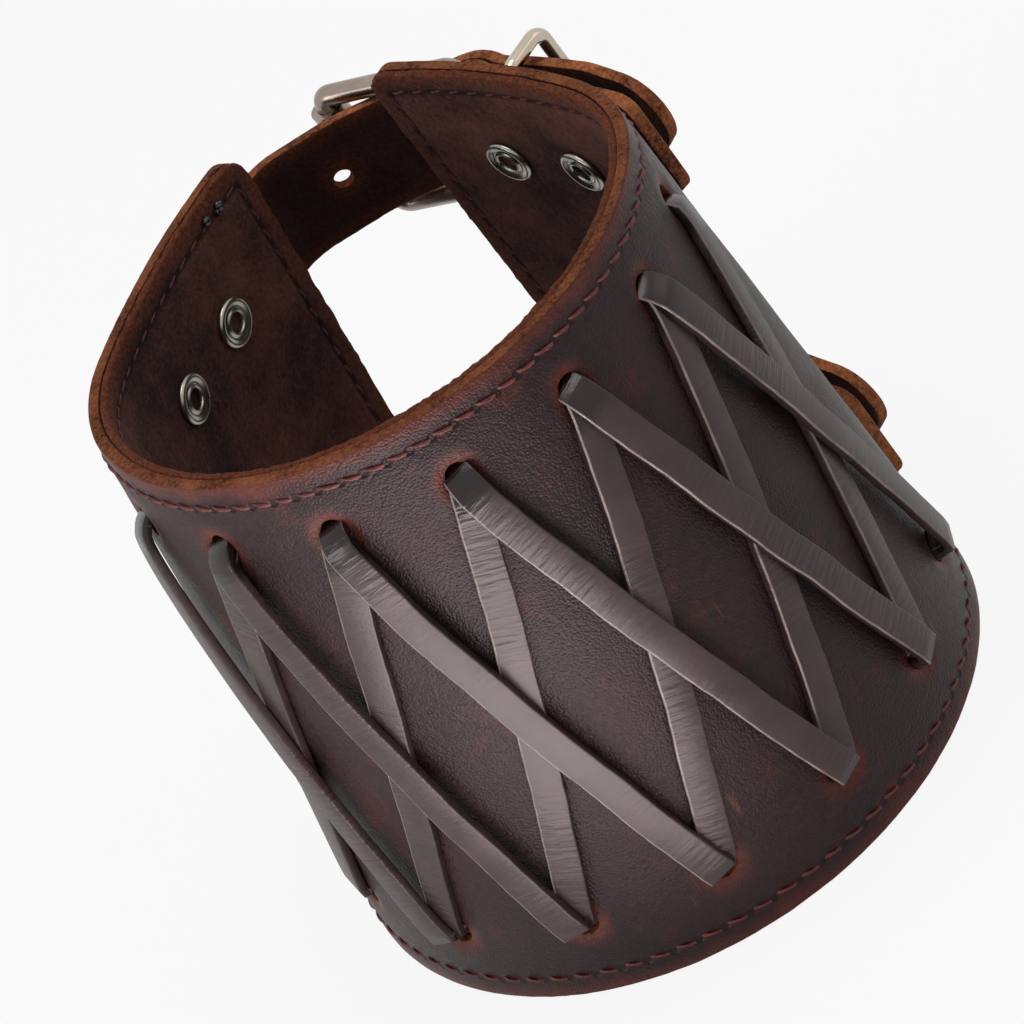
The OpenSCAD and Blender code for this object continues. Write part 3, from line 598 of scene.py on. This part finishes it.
suede = suede_finish("lining_suede", (0.049, 0.0215, 0.0195), (0.235, 0.091, 0.070),
                     (0.265, 0.072, 0.031), seam=True)
lining, uv = leather_sheet(
    "lining_suede", on_wall, steps((-HALF_LEN + LINING_SOFT, HALF_LEN - LINING_SOFT, 1.05)),
    steps((LINING_SOFT, 9, 0.85), (9, CUFF_H - 9, 1.3), (CUFF_H - 9, CUFF_H - LINING_SOFT, 0.85)),
    lambda q: np.full(len(q), -OUTER_T - GLUE), lining_back, [suede], (), CORNER_R, LINING_SOFT,
    ragged=0.42, seed=6.0)
add_map(lining.data, "seam", np.stack(seam_place(uv), -1))
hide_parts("lining")
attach(lining, "cuff")


# Edge stitching: waxed oxblood thread in one saddle-stitched line all round, both faces. Each
# stitch is a short twisted length that dives into its two needle holes.
thread_mat, tree, body, co = new_finish("waxed_thread", Roughness=0.62)
lint = clouds(tree, co, 1400.0, 3.0, 0.7)
tone = ramp(tree, lint, 0.34, 0.70, (0.035, 0.005, 0.006), (0.17, 0.027, 0.025))
tree.links.new(tone, body.inputs["Base Color"])
relief(tree, body, lint, 0.6, 0.0001)


def stitch_tree():
    """Geometry Nodes: one twisted, arched stitch at each point, along and up by its attributes."""
    group = bpy.data.node_groups.new("stitches", "GeometryNodeTree")
    face = group.interface
    sizes = [(label, "Float") for label in ("Length", "Thread", "Rise", "Sink")]
    for label, kind in [("Geometry", "Geometry"), *sizes, ("Finish", "Material")]:
        face.new_socket(label, in_out="INPUT", socket_type="NodeSocket" + kind)
    face.new_socket("Geometry", in_out="OUTPUT", socket_type="NodeSocketGeometry")
    G = lambda kind, props=None, **s: shader_node(group, kind, props, **s)
    ends = G("NodeGroupInput")
    length, thread, rise, sink = ends.outputs[1:5]
    half = times(group, length, 0.5)
    back = times(group, half, -1.0)
    low = times(group, sink, -1.0)
    p0, h0, h1, p1 = (G("ShaderNodeCombineXYZ", X=x, Z=z).outputs[0]
                      for x, z in ((back, low), (back, rise), (half, rise), (half, low)))
    arch = G("GeometryNodeCurvePrimitiveBezierSegment", Resolution=8, Start=p0,
             Start_Handle=h0, End_Handle=h1, End=p1)
    twist = times(group, G("GeometryNodeSplineParameter").outputs["Factor"], 5.0)
    tilted = G("GeometryNodeSetCurveTilt", Curve=arch.outputs[0], Tilt=twist)
    ply = times(group, thread, 0.5)
    ring = G("GeometryNodeCurvePrimitiveCircle", Resolution=8, Radius=ply)
    flat = G("GeometryNodeTransform", Geometry=ring.outputs[0], Scale=(1.0, 0.68, 1.0))
    tube = G("GeometryNodeCurveToMesh", Curve=tilted.outputs[0], Profile_Curve=flat.outputs[0],
             Fill_Caps=True)
    vector = {"data_type": "FLOAT_VECTOR"}
    ahead, upward = (G("GeometryNodeInputNamedAttribute", vector, Name=label).outputs[0]
                     for label in ("ahead", "upward"))
    spin = G("FunctionNodeAxesToRotation", {"primary_axis": "Z", "secondary_axis": "X"},
             i0=upward, i1=ahead)
    size = G("FunctionNodeRandomValue", {"data_type": "FLOAT"}, Seed=11, i2=0.9, i3=1.08)
    wide = G("ShaderNodeCombineXYZ", X=size.outputs[1], Y=1.0, Z=size.outputs[1])
    put = G("GeometryNodeInstanceOnPoints", Points=ends.outputs["Geometry"],
            Instance=tube.outputs[0], Rotation=spin.outputs[0], Scale=wide.outputs[0])
    real = G("GeometryNodeRealizeInstances", i0=put.outputs[0])
    dyed = G("GeometryNodeSetMaterial", i0=real.outputs[0], Material=ends.outputs["Finish"])
    smooth = G("GeometryNodeSetShadeSmooth", Geometry=dyed.outputs[0])
    G("NodeGroupOutput", Geometry=smooth.outputs[0])
    return group


stitches = stitch_tree()


def run_nodes(name, points, ahead, upward, group, **values):
    """Runs a tree on points with directions, and keeps the mesh that it makes."""
    mesh = bpy.data.meshes.new(name + "_points")
    mesh.from_pydata(points.tolist(), [], [])
    for label, vectors in (("ahead", ahead), ("upward", upward)):
        attr = mesh.attributes.new(label, "FLOAT_VECTOR", "POINT")
        attr.data.foreach_set("vector", vectors.astype(np.float32).ravel())
    obj = bpy.data.objects.new(name, mesh)
    stage.collection.objects.link(obj)
    mod = obj.modifiers.new("make", "NODES")
    mod.node_group = group
    for item in group.interface.items_tree:
        if item.in_out == "INPUT" and item.name in values:
            mod[item.identifier] = values[item.name]
    bpy.context.view_layer.update()
    made = bpy.data.meshes.new_from_object(obj.evaluated_get(bpy.context.evaluated_depsgraph_get()))
    obj.modifiers.clear()
    obj.data = made
    made.name = name
    return obj


# Cosine and sine of a stitch's slant off the seam
STITCH_SLANT = (0.985, 0.17)


def seam_stitches(o, side=1):
    """Middle, direction and outward direction of every stitch, at the height o on the wall."""
    mids, ends = [], []
    for a, b in SEAM_SIDES:
        n = round(np.linalg.norm(b - a) / STITCH)
        mids += [a + (b - a) * (k + 0.5) / n for k in range(n)]
        ends += [(b - a) / np.linalg.norm(b - a)] * n
    mids, ends = np.array(mids), np.array(ends)
    c, s = STITCH_SLANT
    turned = np.stack([ends[:, 0] * c + ends[:, 1] * s, ends[:, 1] * c - ends[:, 0] * s], -1)
    p = on_wall(mids[:, 0], mids[:, 1], o)
    ahead = on_wall(mids[:, 0] + turned[:, 0], mids[:, 1] + turned[:, 1], o) - p
    upward = on_wall(mids[:, 0], mids[:, 1], o + 1.0) - p
    return p, ahead, upward * side


outer_stitches = run_nodes(
    "stitches_outside", *seam_stitches(-0.12), stitches,
    Length=3.6 * MM, Thread=0.62 * MM, Rise=0.40 * MM, Sink=0.75 * MM, Finish=thread_mat)
inner_stitches = run_nodes(
    "stitches_inside", *seam_stitches(-WALL_T + 0.30, side=-1), stitches,
    Length=2.7 * MM, Thread=0.55 * MM, Rise=0.34 * MM, Sink=0.5 * MM, Finish=thread_mat)
for piece in (outer_stitches, inner_stitches):
    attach(piece, "cuff")
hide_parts("edge_thread")


# Laces: two flat leather laces, 4.7 mm wide, that cross six times down the front. The strand
# from the upper left lies on top, stiff and a little lifted; each end bends into its hole.
LACE_W, LACE_T, LACE_CORNER = 4.7, 1.5, 0.28
lace_mat, tree, body, co = new_finish("lace_leather", Specular_IOR_Level=0.44,
                                      Specular_Tint=(1.0, 0.86, 0.88, 1))
strand_uv, along, round_it = map_values(tree, "strand")
tone = ramp(tree, clouds(tree, co, 160.0, 4.0), 0.36, 0.68, (0.019, 0.0102, 0.0098),
            (0.036, 0.0190, 0.0175))

# Painted shade on the start of each strand, where it bends down into its hole, which is made
# glossier there as well; it runs between two lengths from its hole, in metres
HOLE_SHADE_FULL, HOLE_SHADE_END = 0.0056, 0.0086
dip = carried(tree, along, HOLE_SHADE_FULL, HOLE_SHADE_END, 0.92, 0.0)
tone = blended(tree, dip, tone, (0.0035, 0.0022, 0.0020))

# Painted highlight: a fine light line along one upper corner of the lace, standing for light caught
# by that edge and broken up by noise; its place round the section and its width, in metres
HIGHLIGHT_AT, HIGHLIGHT_W = 0.00160, 0.00025
highlight_line = maths(tree, "ABSOLUTE", maths(tree, "SUBTRACT", round_it, HIGHLIGHT_AT))
highlight_line = carried(tree, highlight_line, HIGHLIGHT_W, 0.00012, smooth=False)
painted_highlight = times(tree, highlight_line, clouds(tree, co, 260.0, 2.0))
tree.links.new(blended(tree, painted_highlight, tone, (0.33, 0.26, 0.23)), body.inputs["Base Color"])
tree.links.new(carried(tree, dip, 0.0, 1.0, 0.40, 0.24, smooth=False), body.inputs["Roughness"])

# Creases across the strand, in patches
stretch = shader_node(tree, "ShaderNodeMapping", Vector=strand_uv, Scale=(1.0, 0.16, 1.0))
crease = clouds(tree, stretch.outputs[0], 1150.0, 2.0)
where = carried(tree, clouds(tree, co, 45.0, 2.0), 0.42, 0.60, 0.08, 1.0)
grainy = clouds(tree, co, 1500.0, 3.0, 0.6)
deep = times(tree, crease, where)
relief(tree, body, times(tree, grainy, 0.16, deep), 0.75, 0.00028)


def lace_section():
    """Flat lace cut across: crisp, slightly rounded corners, listed round from the underside."""
    r = LACE_CORNER
    w, t = LACE_W / 2 - r, LACE_T / 2 - r
    pts = []
    for cx, cy, start in ((w, -t, -90), (w, t, 0), (-w, t, 90), (-w, -t, 180)):
        for k in range(4):
            a = math.radians(start + 30 * k)
            pts.append((cx + r * math.cos(a), cy + r * math.sin(a)))
    return np.array(pts)


def smooth_path(knots, spacing):
    """Catmull-Rom through the knots, at about the given spacing."""
    knots = np.array(knots, float)
    padded = np.vstack([2 * knots[0] - knots[1], knots, 2 * knots[-1] - knots[-2]])
    pts = []
    for i in range(1, len(padded) - 2):
        a, b, c, d = padded[i - 1:i + 3]
        n = max(2, int(np.linalg.norm(c - b) / spacing))
        for k in range(n):
            t = k / n
            curve = (2 * a - 5 * b + 4 * c - d) * t * t + (3 * b - a - 3 * c + d) * t ** 3
            pts.append(0.5 * (2 * b + (c - a) * t + curve))
    pts.append(knots[-1])
    return np.array(pts)


def strand_mesh(start, end, heights, first, last, wobble):
    """One strand: start and end are hole centres, heights the middle's height along it.

    first and last list (distance from the hole's centre along the strand, height) of the bends.
    """
    a, b = np.array(start), np.array(end)
    shrink = FRONT_R / (FRONT_R - LEAN * (a[1] + b[1]) / 2)
    length = math.hypot((b[0] - a[0]) / shrink, b[1] - a[1])
    run = np.array([(b[0] - a[0]) / length, (b[1] - a[1]) / length])
    knots = list(first) + [(length * f, h) for f, h in heights]
    knots += [(length - d, h) for d, h in reversed(last)]
    path = smooth_path(knots, 0.55)
    centre = a + path[:, :1] * run
    section = lace_section()
    across = np.array([run[1], -run[0]])
    rows = []
    tangent = np.gradient(path, axis=0)
    tangent /= np.linalg.norm(tangent, axis=1)[:, None]
    for (s, h), (u, z), (t_s, t_h) in zip(path, centre, tangent):
        sway = wobble * noise.noise(Vector((s * 0.09, a[0], 3.0)))
        grow = 1 + 0.03 * noise.noise(Vector((s * 0.4, a[0], 9.0)))
        stretch = FRONT_R / (FRONT_R - LEAN * z)
        for x, y in section:
            out = x * grow + sway
            rows.append((u + out * across[0] * stretch - y * t_h * run[0],
                         z + out * across[1] - y * t_h * run[1], h + y * t_s))
    rows = np.array(rows)
    xyz = on_wall(rows[:, 0], rows[:, 1], rows[:, 2])
    n, m = len(path), len(section)
    faces = [(i * m + j, i * m + (j + 1) % m, (i + 1) * m + (j + 1) % m, (i + 1) * m + j)
             for i in range(n - 1) for j in range(m)]
    faces += [tuple(range(m))[::-1], tuple((n - 1) * m + j for j in range(m))]
    gone = np.concatenate([[0], np.cumsum(np.linalg.norm(np.diff(path, axis=0), axis=1))])
    girth = np.concatenate([[0], np.cumsum(np.linalg.norm(np.diff(section, axis=0), axis=1))])
    uv = np.array([(gone[i], girth[j]) for i in range(n) for j in range(m)])
    return xyz, faces, uv


def joined(name, parts, layer, finish):
    """One piece of several meshes, with their map in millimetres turned to metres."""
    verts, faces, uvs = [], [], []
    for xyz, f, uv in parts:
        faces += [tuple(k + len(verts) for k in q) for q in f]
        verts += xyz.tolist()
        uvs += uv.tolist()
    mesh = bpy.data.meshes.new(name)
    mesh.from_pydata(verts, [], faces)
    add_map(mesh, layer, np.array(uvs) * MM)
    bm = bmesh.new()
    bm.from_mesh(mesh)
    bmesh.ops.recalc_face_normals(bm, faces=bm.faces)
    bm.to_mesh(mesh)
    bm.free()
    return smooth_piece(name, mesh, [finish])


# Bends at a hole, as (distance from its centre along the strand, height), for the strands on
# top and below, at their upper and lower ends; and middles, as (share of the length, height).
OVER_H, UNDER_H = 2.42, 0.86
OVER_TOP = [(-1.0, -2.3), (-0.75, -1.0), (-0.1, 0.25), (1.0, 1.15), (2.7, 1.75)]
OVER_LOW = [(0.15, -2.2), (0.2, -0.9), (0.35, 0.5), (0.95, 1.75), (2.6, OVER_H)]
OVER_MID = [(0.12, 2.2), (0.3, OVER_H), (0.5, OVER_H + 0.05), (0.75, OVER_H)]
UNDER_TOP = [(-0.2, -2.2), (-0.1, -1.1), (0.5, 0.0), (1.8, 0.62)]
UNDER_LOW = [(0.6, -2.2), (0.7, -1.0), (1.2, 0.2), (2.6, UNDER_H)]
UNDER_MID = [(0.12, UNDER_H), (0.5, UNDER_H - 0.04), (0.8, UNDER_H)]
for label, start in (("lace_a", 1), ("lace_b", 0)):
    parts = []
    for i in range(start, 6, 2):
        a, b = COLUMNS[i], COLUMNS[i + 1]
        parts.append(strand_mesh((a, TOP_ROW + 0.3), (b, LOW_ROW - 0.2),
                                 OVER_MID, OVER_TOP, OVER_LOW, wobble=0.35))
        parts.append(strand_mesh((b, TOP_ROW - 0.4), (a, LOW_ROW + 0.5),
                                 UNDER_MID, UNDER_TOP, UNDER_LOW, wobble=0.25))
    piece = joined(label + "_leather", parts, "strand", lace_mat)
    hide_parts(label)
    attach(piece, "cuff")


# Billets: a strap riveted on each side of the left leg, 20 mm wide and 2.4 mm thick, which
# crosses the gap under the roller, over the heel bar and back over the buckle piece.
STRAP_W, STRAP_T = 20.0, 2.4
LAY, PASS, LAYER_GAP = 0.1, 0.4, 0.5
WIRE_D, ROLLER_R, FRAME_REACH = 3.5, 3.0, 25.6
CHAPE_REACH, BILLET_REACH, TAIL_REACH = 48.3, 47.8, 32.0
CAP_H = 1.5
HEEL_BACK = 11.0
HEEL_U = HALF_LEN - HEEL_BACK
HEEL_O = LAY + STRAP_T + WIRE_D / 2
FOLD_R = WIRE_D / 2
BILLET_O = HEEL_O + FOLD_R + STRAP_T + LAY
CHAPE_TOP = LAY + 2 * STRAP_T + LAYER_GAP
LOW_O = CHAPE_TOP + CAP_H + 4 * LAY
LEG_END = FRONT_TURN + SIDE_TURN + LEG_TURN
HEEL_TURN = float(wall_turn(np.array(HEEL_U))[0])
BEND_HEEL_R, BEND_BAR_R, BEND_END_R = 6.0, 20.0, 9.0
BAR_TURN, END_TURN = math.radians(14), math.radians(40)
HEEL_BEND = 2 * math.pi - LEG_END - HEEL_TURN - BAR_TURN - END_TURN


def seg_move(seg, t):
    """Step from a segment's start, where its direction is t, to its end."""
    r, a = seg
    return a * heading(t) if r == 0 else math.copysign(r, a) * (facing(t + a) - facing(t))


def seg_turn(seg):
    return 0.0 if seg[0] == 0 else seg[1]


def seg_len(seg):
    return seg[1] if seg[0] == 0 else seg[0] * abs(seg[1])


def path_at(start, segs, s):
    """Places and directions at the lengths s along arcs (radius, turn) and runs (0, length)."""
    p, t = np.array(start[0], float), start[1]
    s = np.asarray(s, float)
    points, turns = np.zeros(s.shape + (2,)), np.zeros(s.shape)
    done = 0.0
    for k, seg in enumerate(segs):
        n = seg_len(seg)
        here = (s >= done - 1e-9) | (k == 0)
        x = s - done
        if seg[0] == 0:
            q, w = p + x[..., None] * heading(t), np.full(s.shape, t)
        else:
            w = t + np.sign(seg[1]) * np.minimum(x, n if k < len(segs) - 1 else x) / seg[0]
            q = p + math.copysign(seg[0], seg[1]) * (facing(w) - facing(np.full(s.shape, t)))
        points[here], turns[here] = q[here], w[here]
        p, t = p + seg_move(seg, t), t + seg_turn(seg)
        done += n
    return points, turns


def path_back(end, segs):
    """The start of a path that ends at the given place and direction."""
    p, t = np.array(end[0], float), end[1]
    for seg in reversed(segs):
        t -= seg_turn(seg)
        p = p - seg_move(seg, t)
    return p, t


def plan(u, z, o):
    """on_wall from above, in millimetres from the front arc's zero."""
    return on_wall(u, z, o)[..., :2] / MM + (0, MIDDLE_Y)


heel_start = (BILLET_O - HEEL_O) * facing(0.0)
bend_done = heel_start + seg_move((BEND_HEEL_R, HEEL_BEND), 0.0)
to_roller = bend_done + seg_move((BEND_BAR_R, BAR_TURN / 2), HEEL_BEND)
to_roller += (STRAP_T + PASS + ROLLER_R) * facing(HEEL_BEND + BAR_TURN / 2)
run_dot = float(to_roller @ heading(HEEL_BEND))
BAR_RUN = -run_dot + math.sqrt(run_dot ** 2 - float(to_roller @ to_roller) + FRAME_REACH ** 2)
DIP = math.radians(20)
DIP_R = (BILLET_O - LOW_O) / 2 / (1 - math.cos(DIP))
DIP_LEN = 2 * DIP_R * math.sin(DIP)
LOW_LEN = TAIL_REACH - 2 * DIP_LEN
SLOT_NEAR, SLOT_LEN, SLOT_R = -1.3, 9.7, 1.6
# Slack round the prong in the shown slot, for the leather's give
SLOT_EASE = 0.22
PUNCH_R, PUNCH_PITCH = 1.5, 22.0


def billet_path(z):
    """The strap's inner face from the tail's tip to the end on the left leg, and its start."""
    heel = (plan(HEEL_U, z, BILLET_O), HEEL_TURN)
    dip_turn, low_turn = DIP_LEN / LEG_R, LOW_LEN / LEG_R
    dip = [(DIP_R, DIP + dip_turn), (DIP_R, -DIP)]
    tail = dip + [(LEG_R - LEAN * z + LOW_O, low_turn)] + dip[::-1]
    front = [(BEND_HEEL_R, HEEL_BEND), (0, BAR_RUN), (BEND_BAR_R, BAR_TURN)]
    p, t = heel
    for seg in front:
        p, t = p + seg_move(seg, t), t + seg_turn(seg)
    gap = plan(-HALF_LEN, z, LAY) - p - seg_move((BEND_END_R, END_TURN), t)
    d1, d2 = heading(2 * math.pi - LEG_END - END_TURN), heading(2 * math.pi - LEG_END)
    det = d1[0] * d2[1] - d1[1] * d2[0]
    e1, e2 = (gap[0] * d2[1] - gap[1] * d2[0]) / det, (d1[0] * gap[1] - d1[1] * gap[0]) / det
    rest = front + [(0, e1), (BEND_END_R, END_TURN), (0, e2),
                    (LEG_R - LEAN * z + LAY, BILLET_REACH / LEG_R)]
    return path_back(heel, tail), tail + rest, sum(map(seg_len, tail))


strap_mat = grain_finish(
    "strap_leather", (0.014, 0.0075, 0.0072), (0.034, 0.016, 0.014), (0.085, 0.020, 0.013),
    (0.085, 0.024, 0.012), (0.56, 0.190, 0.075), gloss=0.45)
strap_back = suede_finish("strap_flesh", (0.034, 0.0145, 0.0130), (0.100, 0.041, 0.032),
                          (0.20, 0.055, 0.021))
STRAP_SOFT, STRAP_RAGGED = 0.4, 0.09
STRAP_HALF = STRAP_W / 2
PUNCH_WINDOW, SLOT_WINDOW, FOLD_WINDOW = 3.0, 7.0, 6.0
ACROSS = steps((-STRAP_HALF + STRAP_SOFT, -PUNCH_WINDOW, 0.8), (-PUNCH_WINDOW, PUNCH_WINDOW, 1.0),
               (PUNCH_WINDOW, STRAP_HALF - STRAP_SOFT, 0.8))
TIP_R, CHAPE_CORNER_R = 9.99, 3.0
FOLD_SLOT_HALF, FOLD_SLOT_R = 2.6, 1.9


def strap_face(swell, seed, sink, edge_drop):
    """Grain side of a strap: gentle waves, sunk a little and lower toward its long edges."""
    def face(q):
        edge = STRAP_HALF - np.abs(q[:, 1])
        fall = edge_drop * np.exp(-(edge / 1.2) ** 2)
        return STRAP_T - sink + swell * speckle(q, 9.0, seed) - fall
    return face


def strap_place(z_mid, start, segs):
    """Puts (length along the path, across, out) beside the leaning wall at the height z_mid."""
    def place(s, w, o):
        p, t = path_at(start, segs, s)
        f = p + (o - LEAN * w)[:, None] * facing(t)
        return np.stack([f[:, 0], f[:, 1] - MIDDLE_Y, z_mid + w], -1) * MM
    return place


for label, z in STRAPS:
    start, segs, tail_len = billet_path(z)
    total = sum(map(seg_len, segs))
    slot_mid = tail_len + BEND_HEEL_R * HEEL_BEND + SLOT_NEAR + SLOT_LEN / 2
    marks = [slot_mid - PUNCH_PITCH, slot_mid, slot_mid + PUNCH_PITCH]
    reaches = (PUNCH_WINDOW, SLOT_WINDOW, PUNCH_WINDOW)
    halves = (0.0, SLOT_LEN / 2 - SLOT_R + SLOT_EASE, 0.0)
    radii = (PUNCH_R, SLOT_R + SLOT_EASE, PUNCH_R)
    holes = [(mark, 0.0, (reach, PUNCH_WINDOW), half, radius)
             for mark, reach, half, radius in zip(marks, reaches, halves, radii)]
    runs, at_u = [], STRAP_SOFT
    for mark, reach, cell in zip(marks, reaches, (0.7, 0.8, 0.8)):
        runs += [(at_u, mark - reach, cell), (mark - reach, mark + reach, 1.0)]
        at_u = mark + reach
    runs.append((at_u, total - STRAP_SOFT, 1.0))
    seed = 3.0 if label == "wrist" else 7.0
    billet = leather_sheet(
        label + "_billet_leather", strap_place(z, start, segs), steps(*runs), ACROSS,
        strap_face(swell=0.08, seed=seed, sink=0.08, edge_drop=0.18),
        lambda q: 0.02 + 0.05 * speckle(q, 7.0, 2.0),
        [strap_mat, strap_back], holes, TIP_R, STRAP_SOFT, STRAP_RAGGED, seed,
        tips=((0, 0), (0, 1)))[0]
    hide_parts(label + "_billet")
    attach(billet, "cuff")


# Buckle pieces: a short strap folded round each heel bar and riveted to the right leg through
# both of its layers, with a slot in the fold for the prong.
STEP_R, OVER_O = 6.0, LAY + STRAP_T + LAYER_GAP
OVER_LEN = CHAPE_REACH - HEEL_BACK
STEP_ANGLE = math.acos(1 - (HEEL_O + FOLD_R - OVER_O) / 2 / STEP_R)
STEP_LEN = 2 * STEP_R * math.sin(STEP_ANGLE)
KEEPER_AT, KEEPER_HALF, KEEPER_LIFT = 16.5, 5.0, 1.02
LEAN_A = math.atan(LEAN)
for label, z in STRAPS:
    leg_at = LEG_R - LEAN * z
    over = [(leg_at + OVER_O, (OVER_LEN - STEP_LEN) / LEG_R), (STEP_R, -STEP_ANGLE),
            (STEP_R, STEP_ANGLE + STEP_LEN / LEG_R)]
    segs = over + [(FOLD_R, math.pi), (leg_at + HEEL_O - FOLD_R, -OVER_LEN / LEG_R)]
    start = path_back((FOLD_R * facing(0.0), 0.0), over)
    fold_at = sum(map(seg_len, over))
    total = sum(map(seg_len, segs))
    heel_p = plan(HEEL_U, z, HEEL_O)

    def chape_place(s, w, o):
        """Places on the folded strap, made level and then leant with the heel bar."""
        p, t = path_at(start, segs, s)
        q = p + o[:, None] * facing(t)
        x = q[:, 0]
        y = q[:, 1] * math.cos(LEAN_A) + w * math.sin(LEAN_A)
        h = -q[:, 1] * math.sin(LEAN_A) + w * math.cos(LEAN_A)
        c, k = math.cos(HEEL_TURN), math.sin(HEEL_TURN)
        return np.stack([heel_p[0] + c * x - k * y, heel_p[1] + k * x + c * y - MIDDLE_Y, z + h],
                        -1) * MM

    slot_at = fold_at + FOLD_R * math.pi / 2
    slot_from, slot_to = slot_at - FOLD_WINDOW, slot_at + FOLD_WINDOW
    us = steps((STRAP_SOFT, slot_from, 0.9), (slot_from, slot_to, 0.75),
               (slot_to, total - STRAP_SOFT, 0.9))
    channels = (fold_at - KEEPER_AT, fold_at + FOLD_R * math.pi + KEEPER_AT)

    def chape_back(q):
        """Flesh side, hollowed on both layers where the keeper's bar slides."""
        return 0.04 + KEEPER_LIFT * sum(
            np.exp(-((q[:, 0] - at) / KEEPER_HALF) ** 4) for at in channels)

    chape = leather_sheet(
        label + "_chape_leather", chape_place, us, ACROSS,
        strap_face(swell=0.06, seed=z, sink=0.06, edge_drop=0.16), chape_back,
        [strap_mat, strap_back],
        [(slot_at, 0.0, (FOLD_WINDOW, PUNCH_WINDOW), FOLD_SLOT_HALF, FOLD_SLOT_R)],
        CHAPE_CORNER_R, STRAP_SOFT, STRAP_RAGGED, z + 3)[0]
    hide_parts(label + "_chape")
    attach(chape, "cuff")


# Buckle hardware: nickel-plated steel wire frames, rollers, prongs and keeper rings. The CAD
# pieces keep their shapes and get the plated finish, with drawing lines and soft wear.
def metal_finish(name, shade, rough, scratch, tint=(1, 1, 1)):
    """Plated metal with a haze in its colour and gloss, and fine scratches."""
    mat, tree, body, co = new_finish(name, Metallic=1.0)
    haze = clouds(tree, co, 90.0, 4.0, 0.6)
    hazed = [c * 0.78 * t for c, t in zip(shade, tint)]
    tree.links.new(ramp(tree, haze, 0.3, 0.7, hazed, shade), body.inputs["Base Color"])
    level = carried(tree, haze, 0.3, 0.7, rough * 0.8, rough * 1.3, smooth=False)
    tree.links.new(level, body.inputs["Roughness"])
    relief(tree, body, clouds(tree, co, 2600.0, 3.0, 0.7), scratch, 0.00004)
    return mat


nickel = metal_finish("nickel_wire", (0.34, 0.29, 0.27), rough=0.24, scratch=0.25,
                      tint=(1.0, 0.9, 0.8))
bright = metal_finish("bright_keeper", (0.56, 0.51, 0.45), rough=0.14, scratch=0.12,
                      tint=(1.0, 0.88, 0.66))
dull = metal_finish("dull_rivet", (0.35, 0.33, 0.28), rough=0.28, scratch=0.35)
for node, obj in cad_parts.items():
    if not obj.hide_render:
        finish = bright if "keeper" in node else dull if "rivet" in node else nickel
        obj.material_slots[0].material = finish


# Rivet bases: drawn washers of dull nickel, with a rolled rim and a lip round the hollow post
# that goes through both leathers into the cap.
RING_CELLS = 48


def rivet_base(u, z, stack):
    """Turned profile of (radius, height into the cuff), with its post through stack more."""
    t = math.copysign(float(wall_turn(np.array(abs(u)))[0]), u)
    ca, sa = math.cos(LEAN_A), math.sin(LEAN_A)
    along = np.array((math.cos(t), math.sin(t), 0))
    slope = np.array((-math.sin(t) * sa, math.cos(t) * sa, ca))
    outward = np.array((ca * math.sin(t), -ca * math.cos(t), sa))
    deep = WALL_T + LAY + stack
    profile = [(2.2, -deep), (2.2, -0.02), (3.9, -0.02), (4.0, 0.2), (3.97, 0.5), (3.8, 0.76),
               (3.5, 0.9), (3.15, 0.84), (2.8, 0.6), (2.45, 0.5), (2.2, 0.62), (2.02, 0.82),
               (1.86, 0.86), (1.72, 0.78), (1.65, 0.5), (1.65, -deep)]
    turns = np.arange(RING_CELLS)[:, None, None] * 2 * math.pi / RING_CELLS
    r, h = np.array(profile).T
    ring = (np.cos(turns) * along + np.sin(turns) * slope) * r[None, :, None]
    xyz = on_wall(u, z, 0.0) + (ring - outward * (WALL_T + LAY + h)[None, :, None]) * MM
    n = len(profile)
    faces = []
    for i in range(RING_CELLS):
        here, there = i * n, (i + 1) % RING_CELLS * n
        faces += [(here + j, there + j, there + (j + 1) % n, here + (j + 1) % n) for j in range(n)]
    return xyz.reshape(-1, 3), faces, np.zeros((RING_CELLS * n, 2))


for label, z in STRAPS:
    for strap, sign, stack in (("billet", -1, STRAP_T + LAY), ("chape", 1, CHAPE_TOP)):
        base = joined(label + "_" + strap + "_rivet_bases",
                      [rivet_base(sign * u, z, stack) for u in RIVET_U], "flat", dull)
        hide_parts(label + "_" + strap + "_rivet_posts")
        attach(base, "cuff")


# Thread ends: the seam ends inside at the left leg's upper corner, where two knots were
# melted into black beads.
burnt_mat, tree, body, co = new_finish("burnt_thread", Base_Color=(0.006, 0.004, 0.004, 1),
                                       Roughness=0.3)
relief(tree, body, clouds(tree, co, 1500.0, 2.0), 0.6, 0.0002)
bm = bmesh.new()
# Beads of the two knots, as (length round the rim, height, radius)
BEADS = ((-141.0, 97.0, 0.85), (-136.8, 97.3, 0.75), (-140.0, 96.4, 0.55))
for u, z, size in BEADS:
    place = on_wall(u, z, -WALL_T - 0.35)
    for v in bmesh.ops.create_icosphere(bm, subdivisions=3, radius=1.0)["verts"]:
        lump = 1 + 0.25 * noise.noise(v.co * 1.7 + Vector((u, z, 0)))
        v.co = Vector(place) + v.co * size * lump * MM
knot_mesh = bpy.data.meshes.new("thread_knots")
bm.to_mesh(knot_mesh)
bm.free()
knots = smooth_piece("thread_knots", knot_mesh, [burnt_mat])
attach(knots, "cuff")
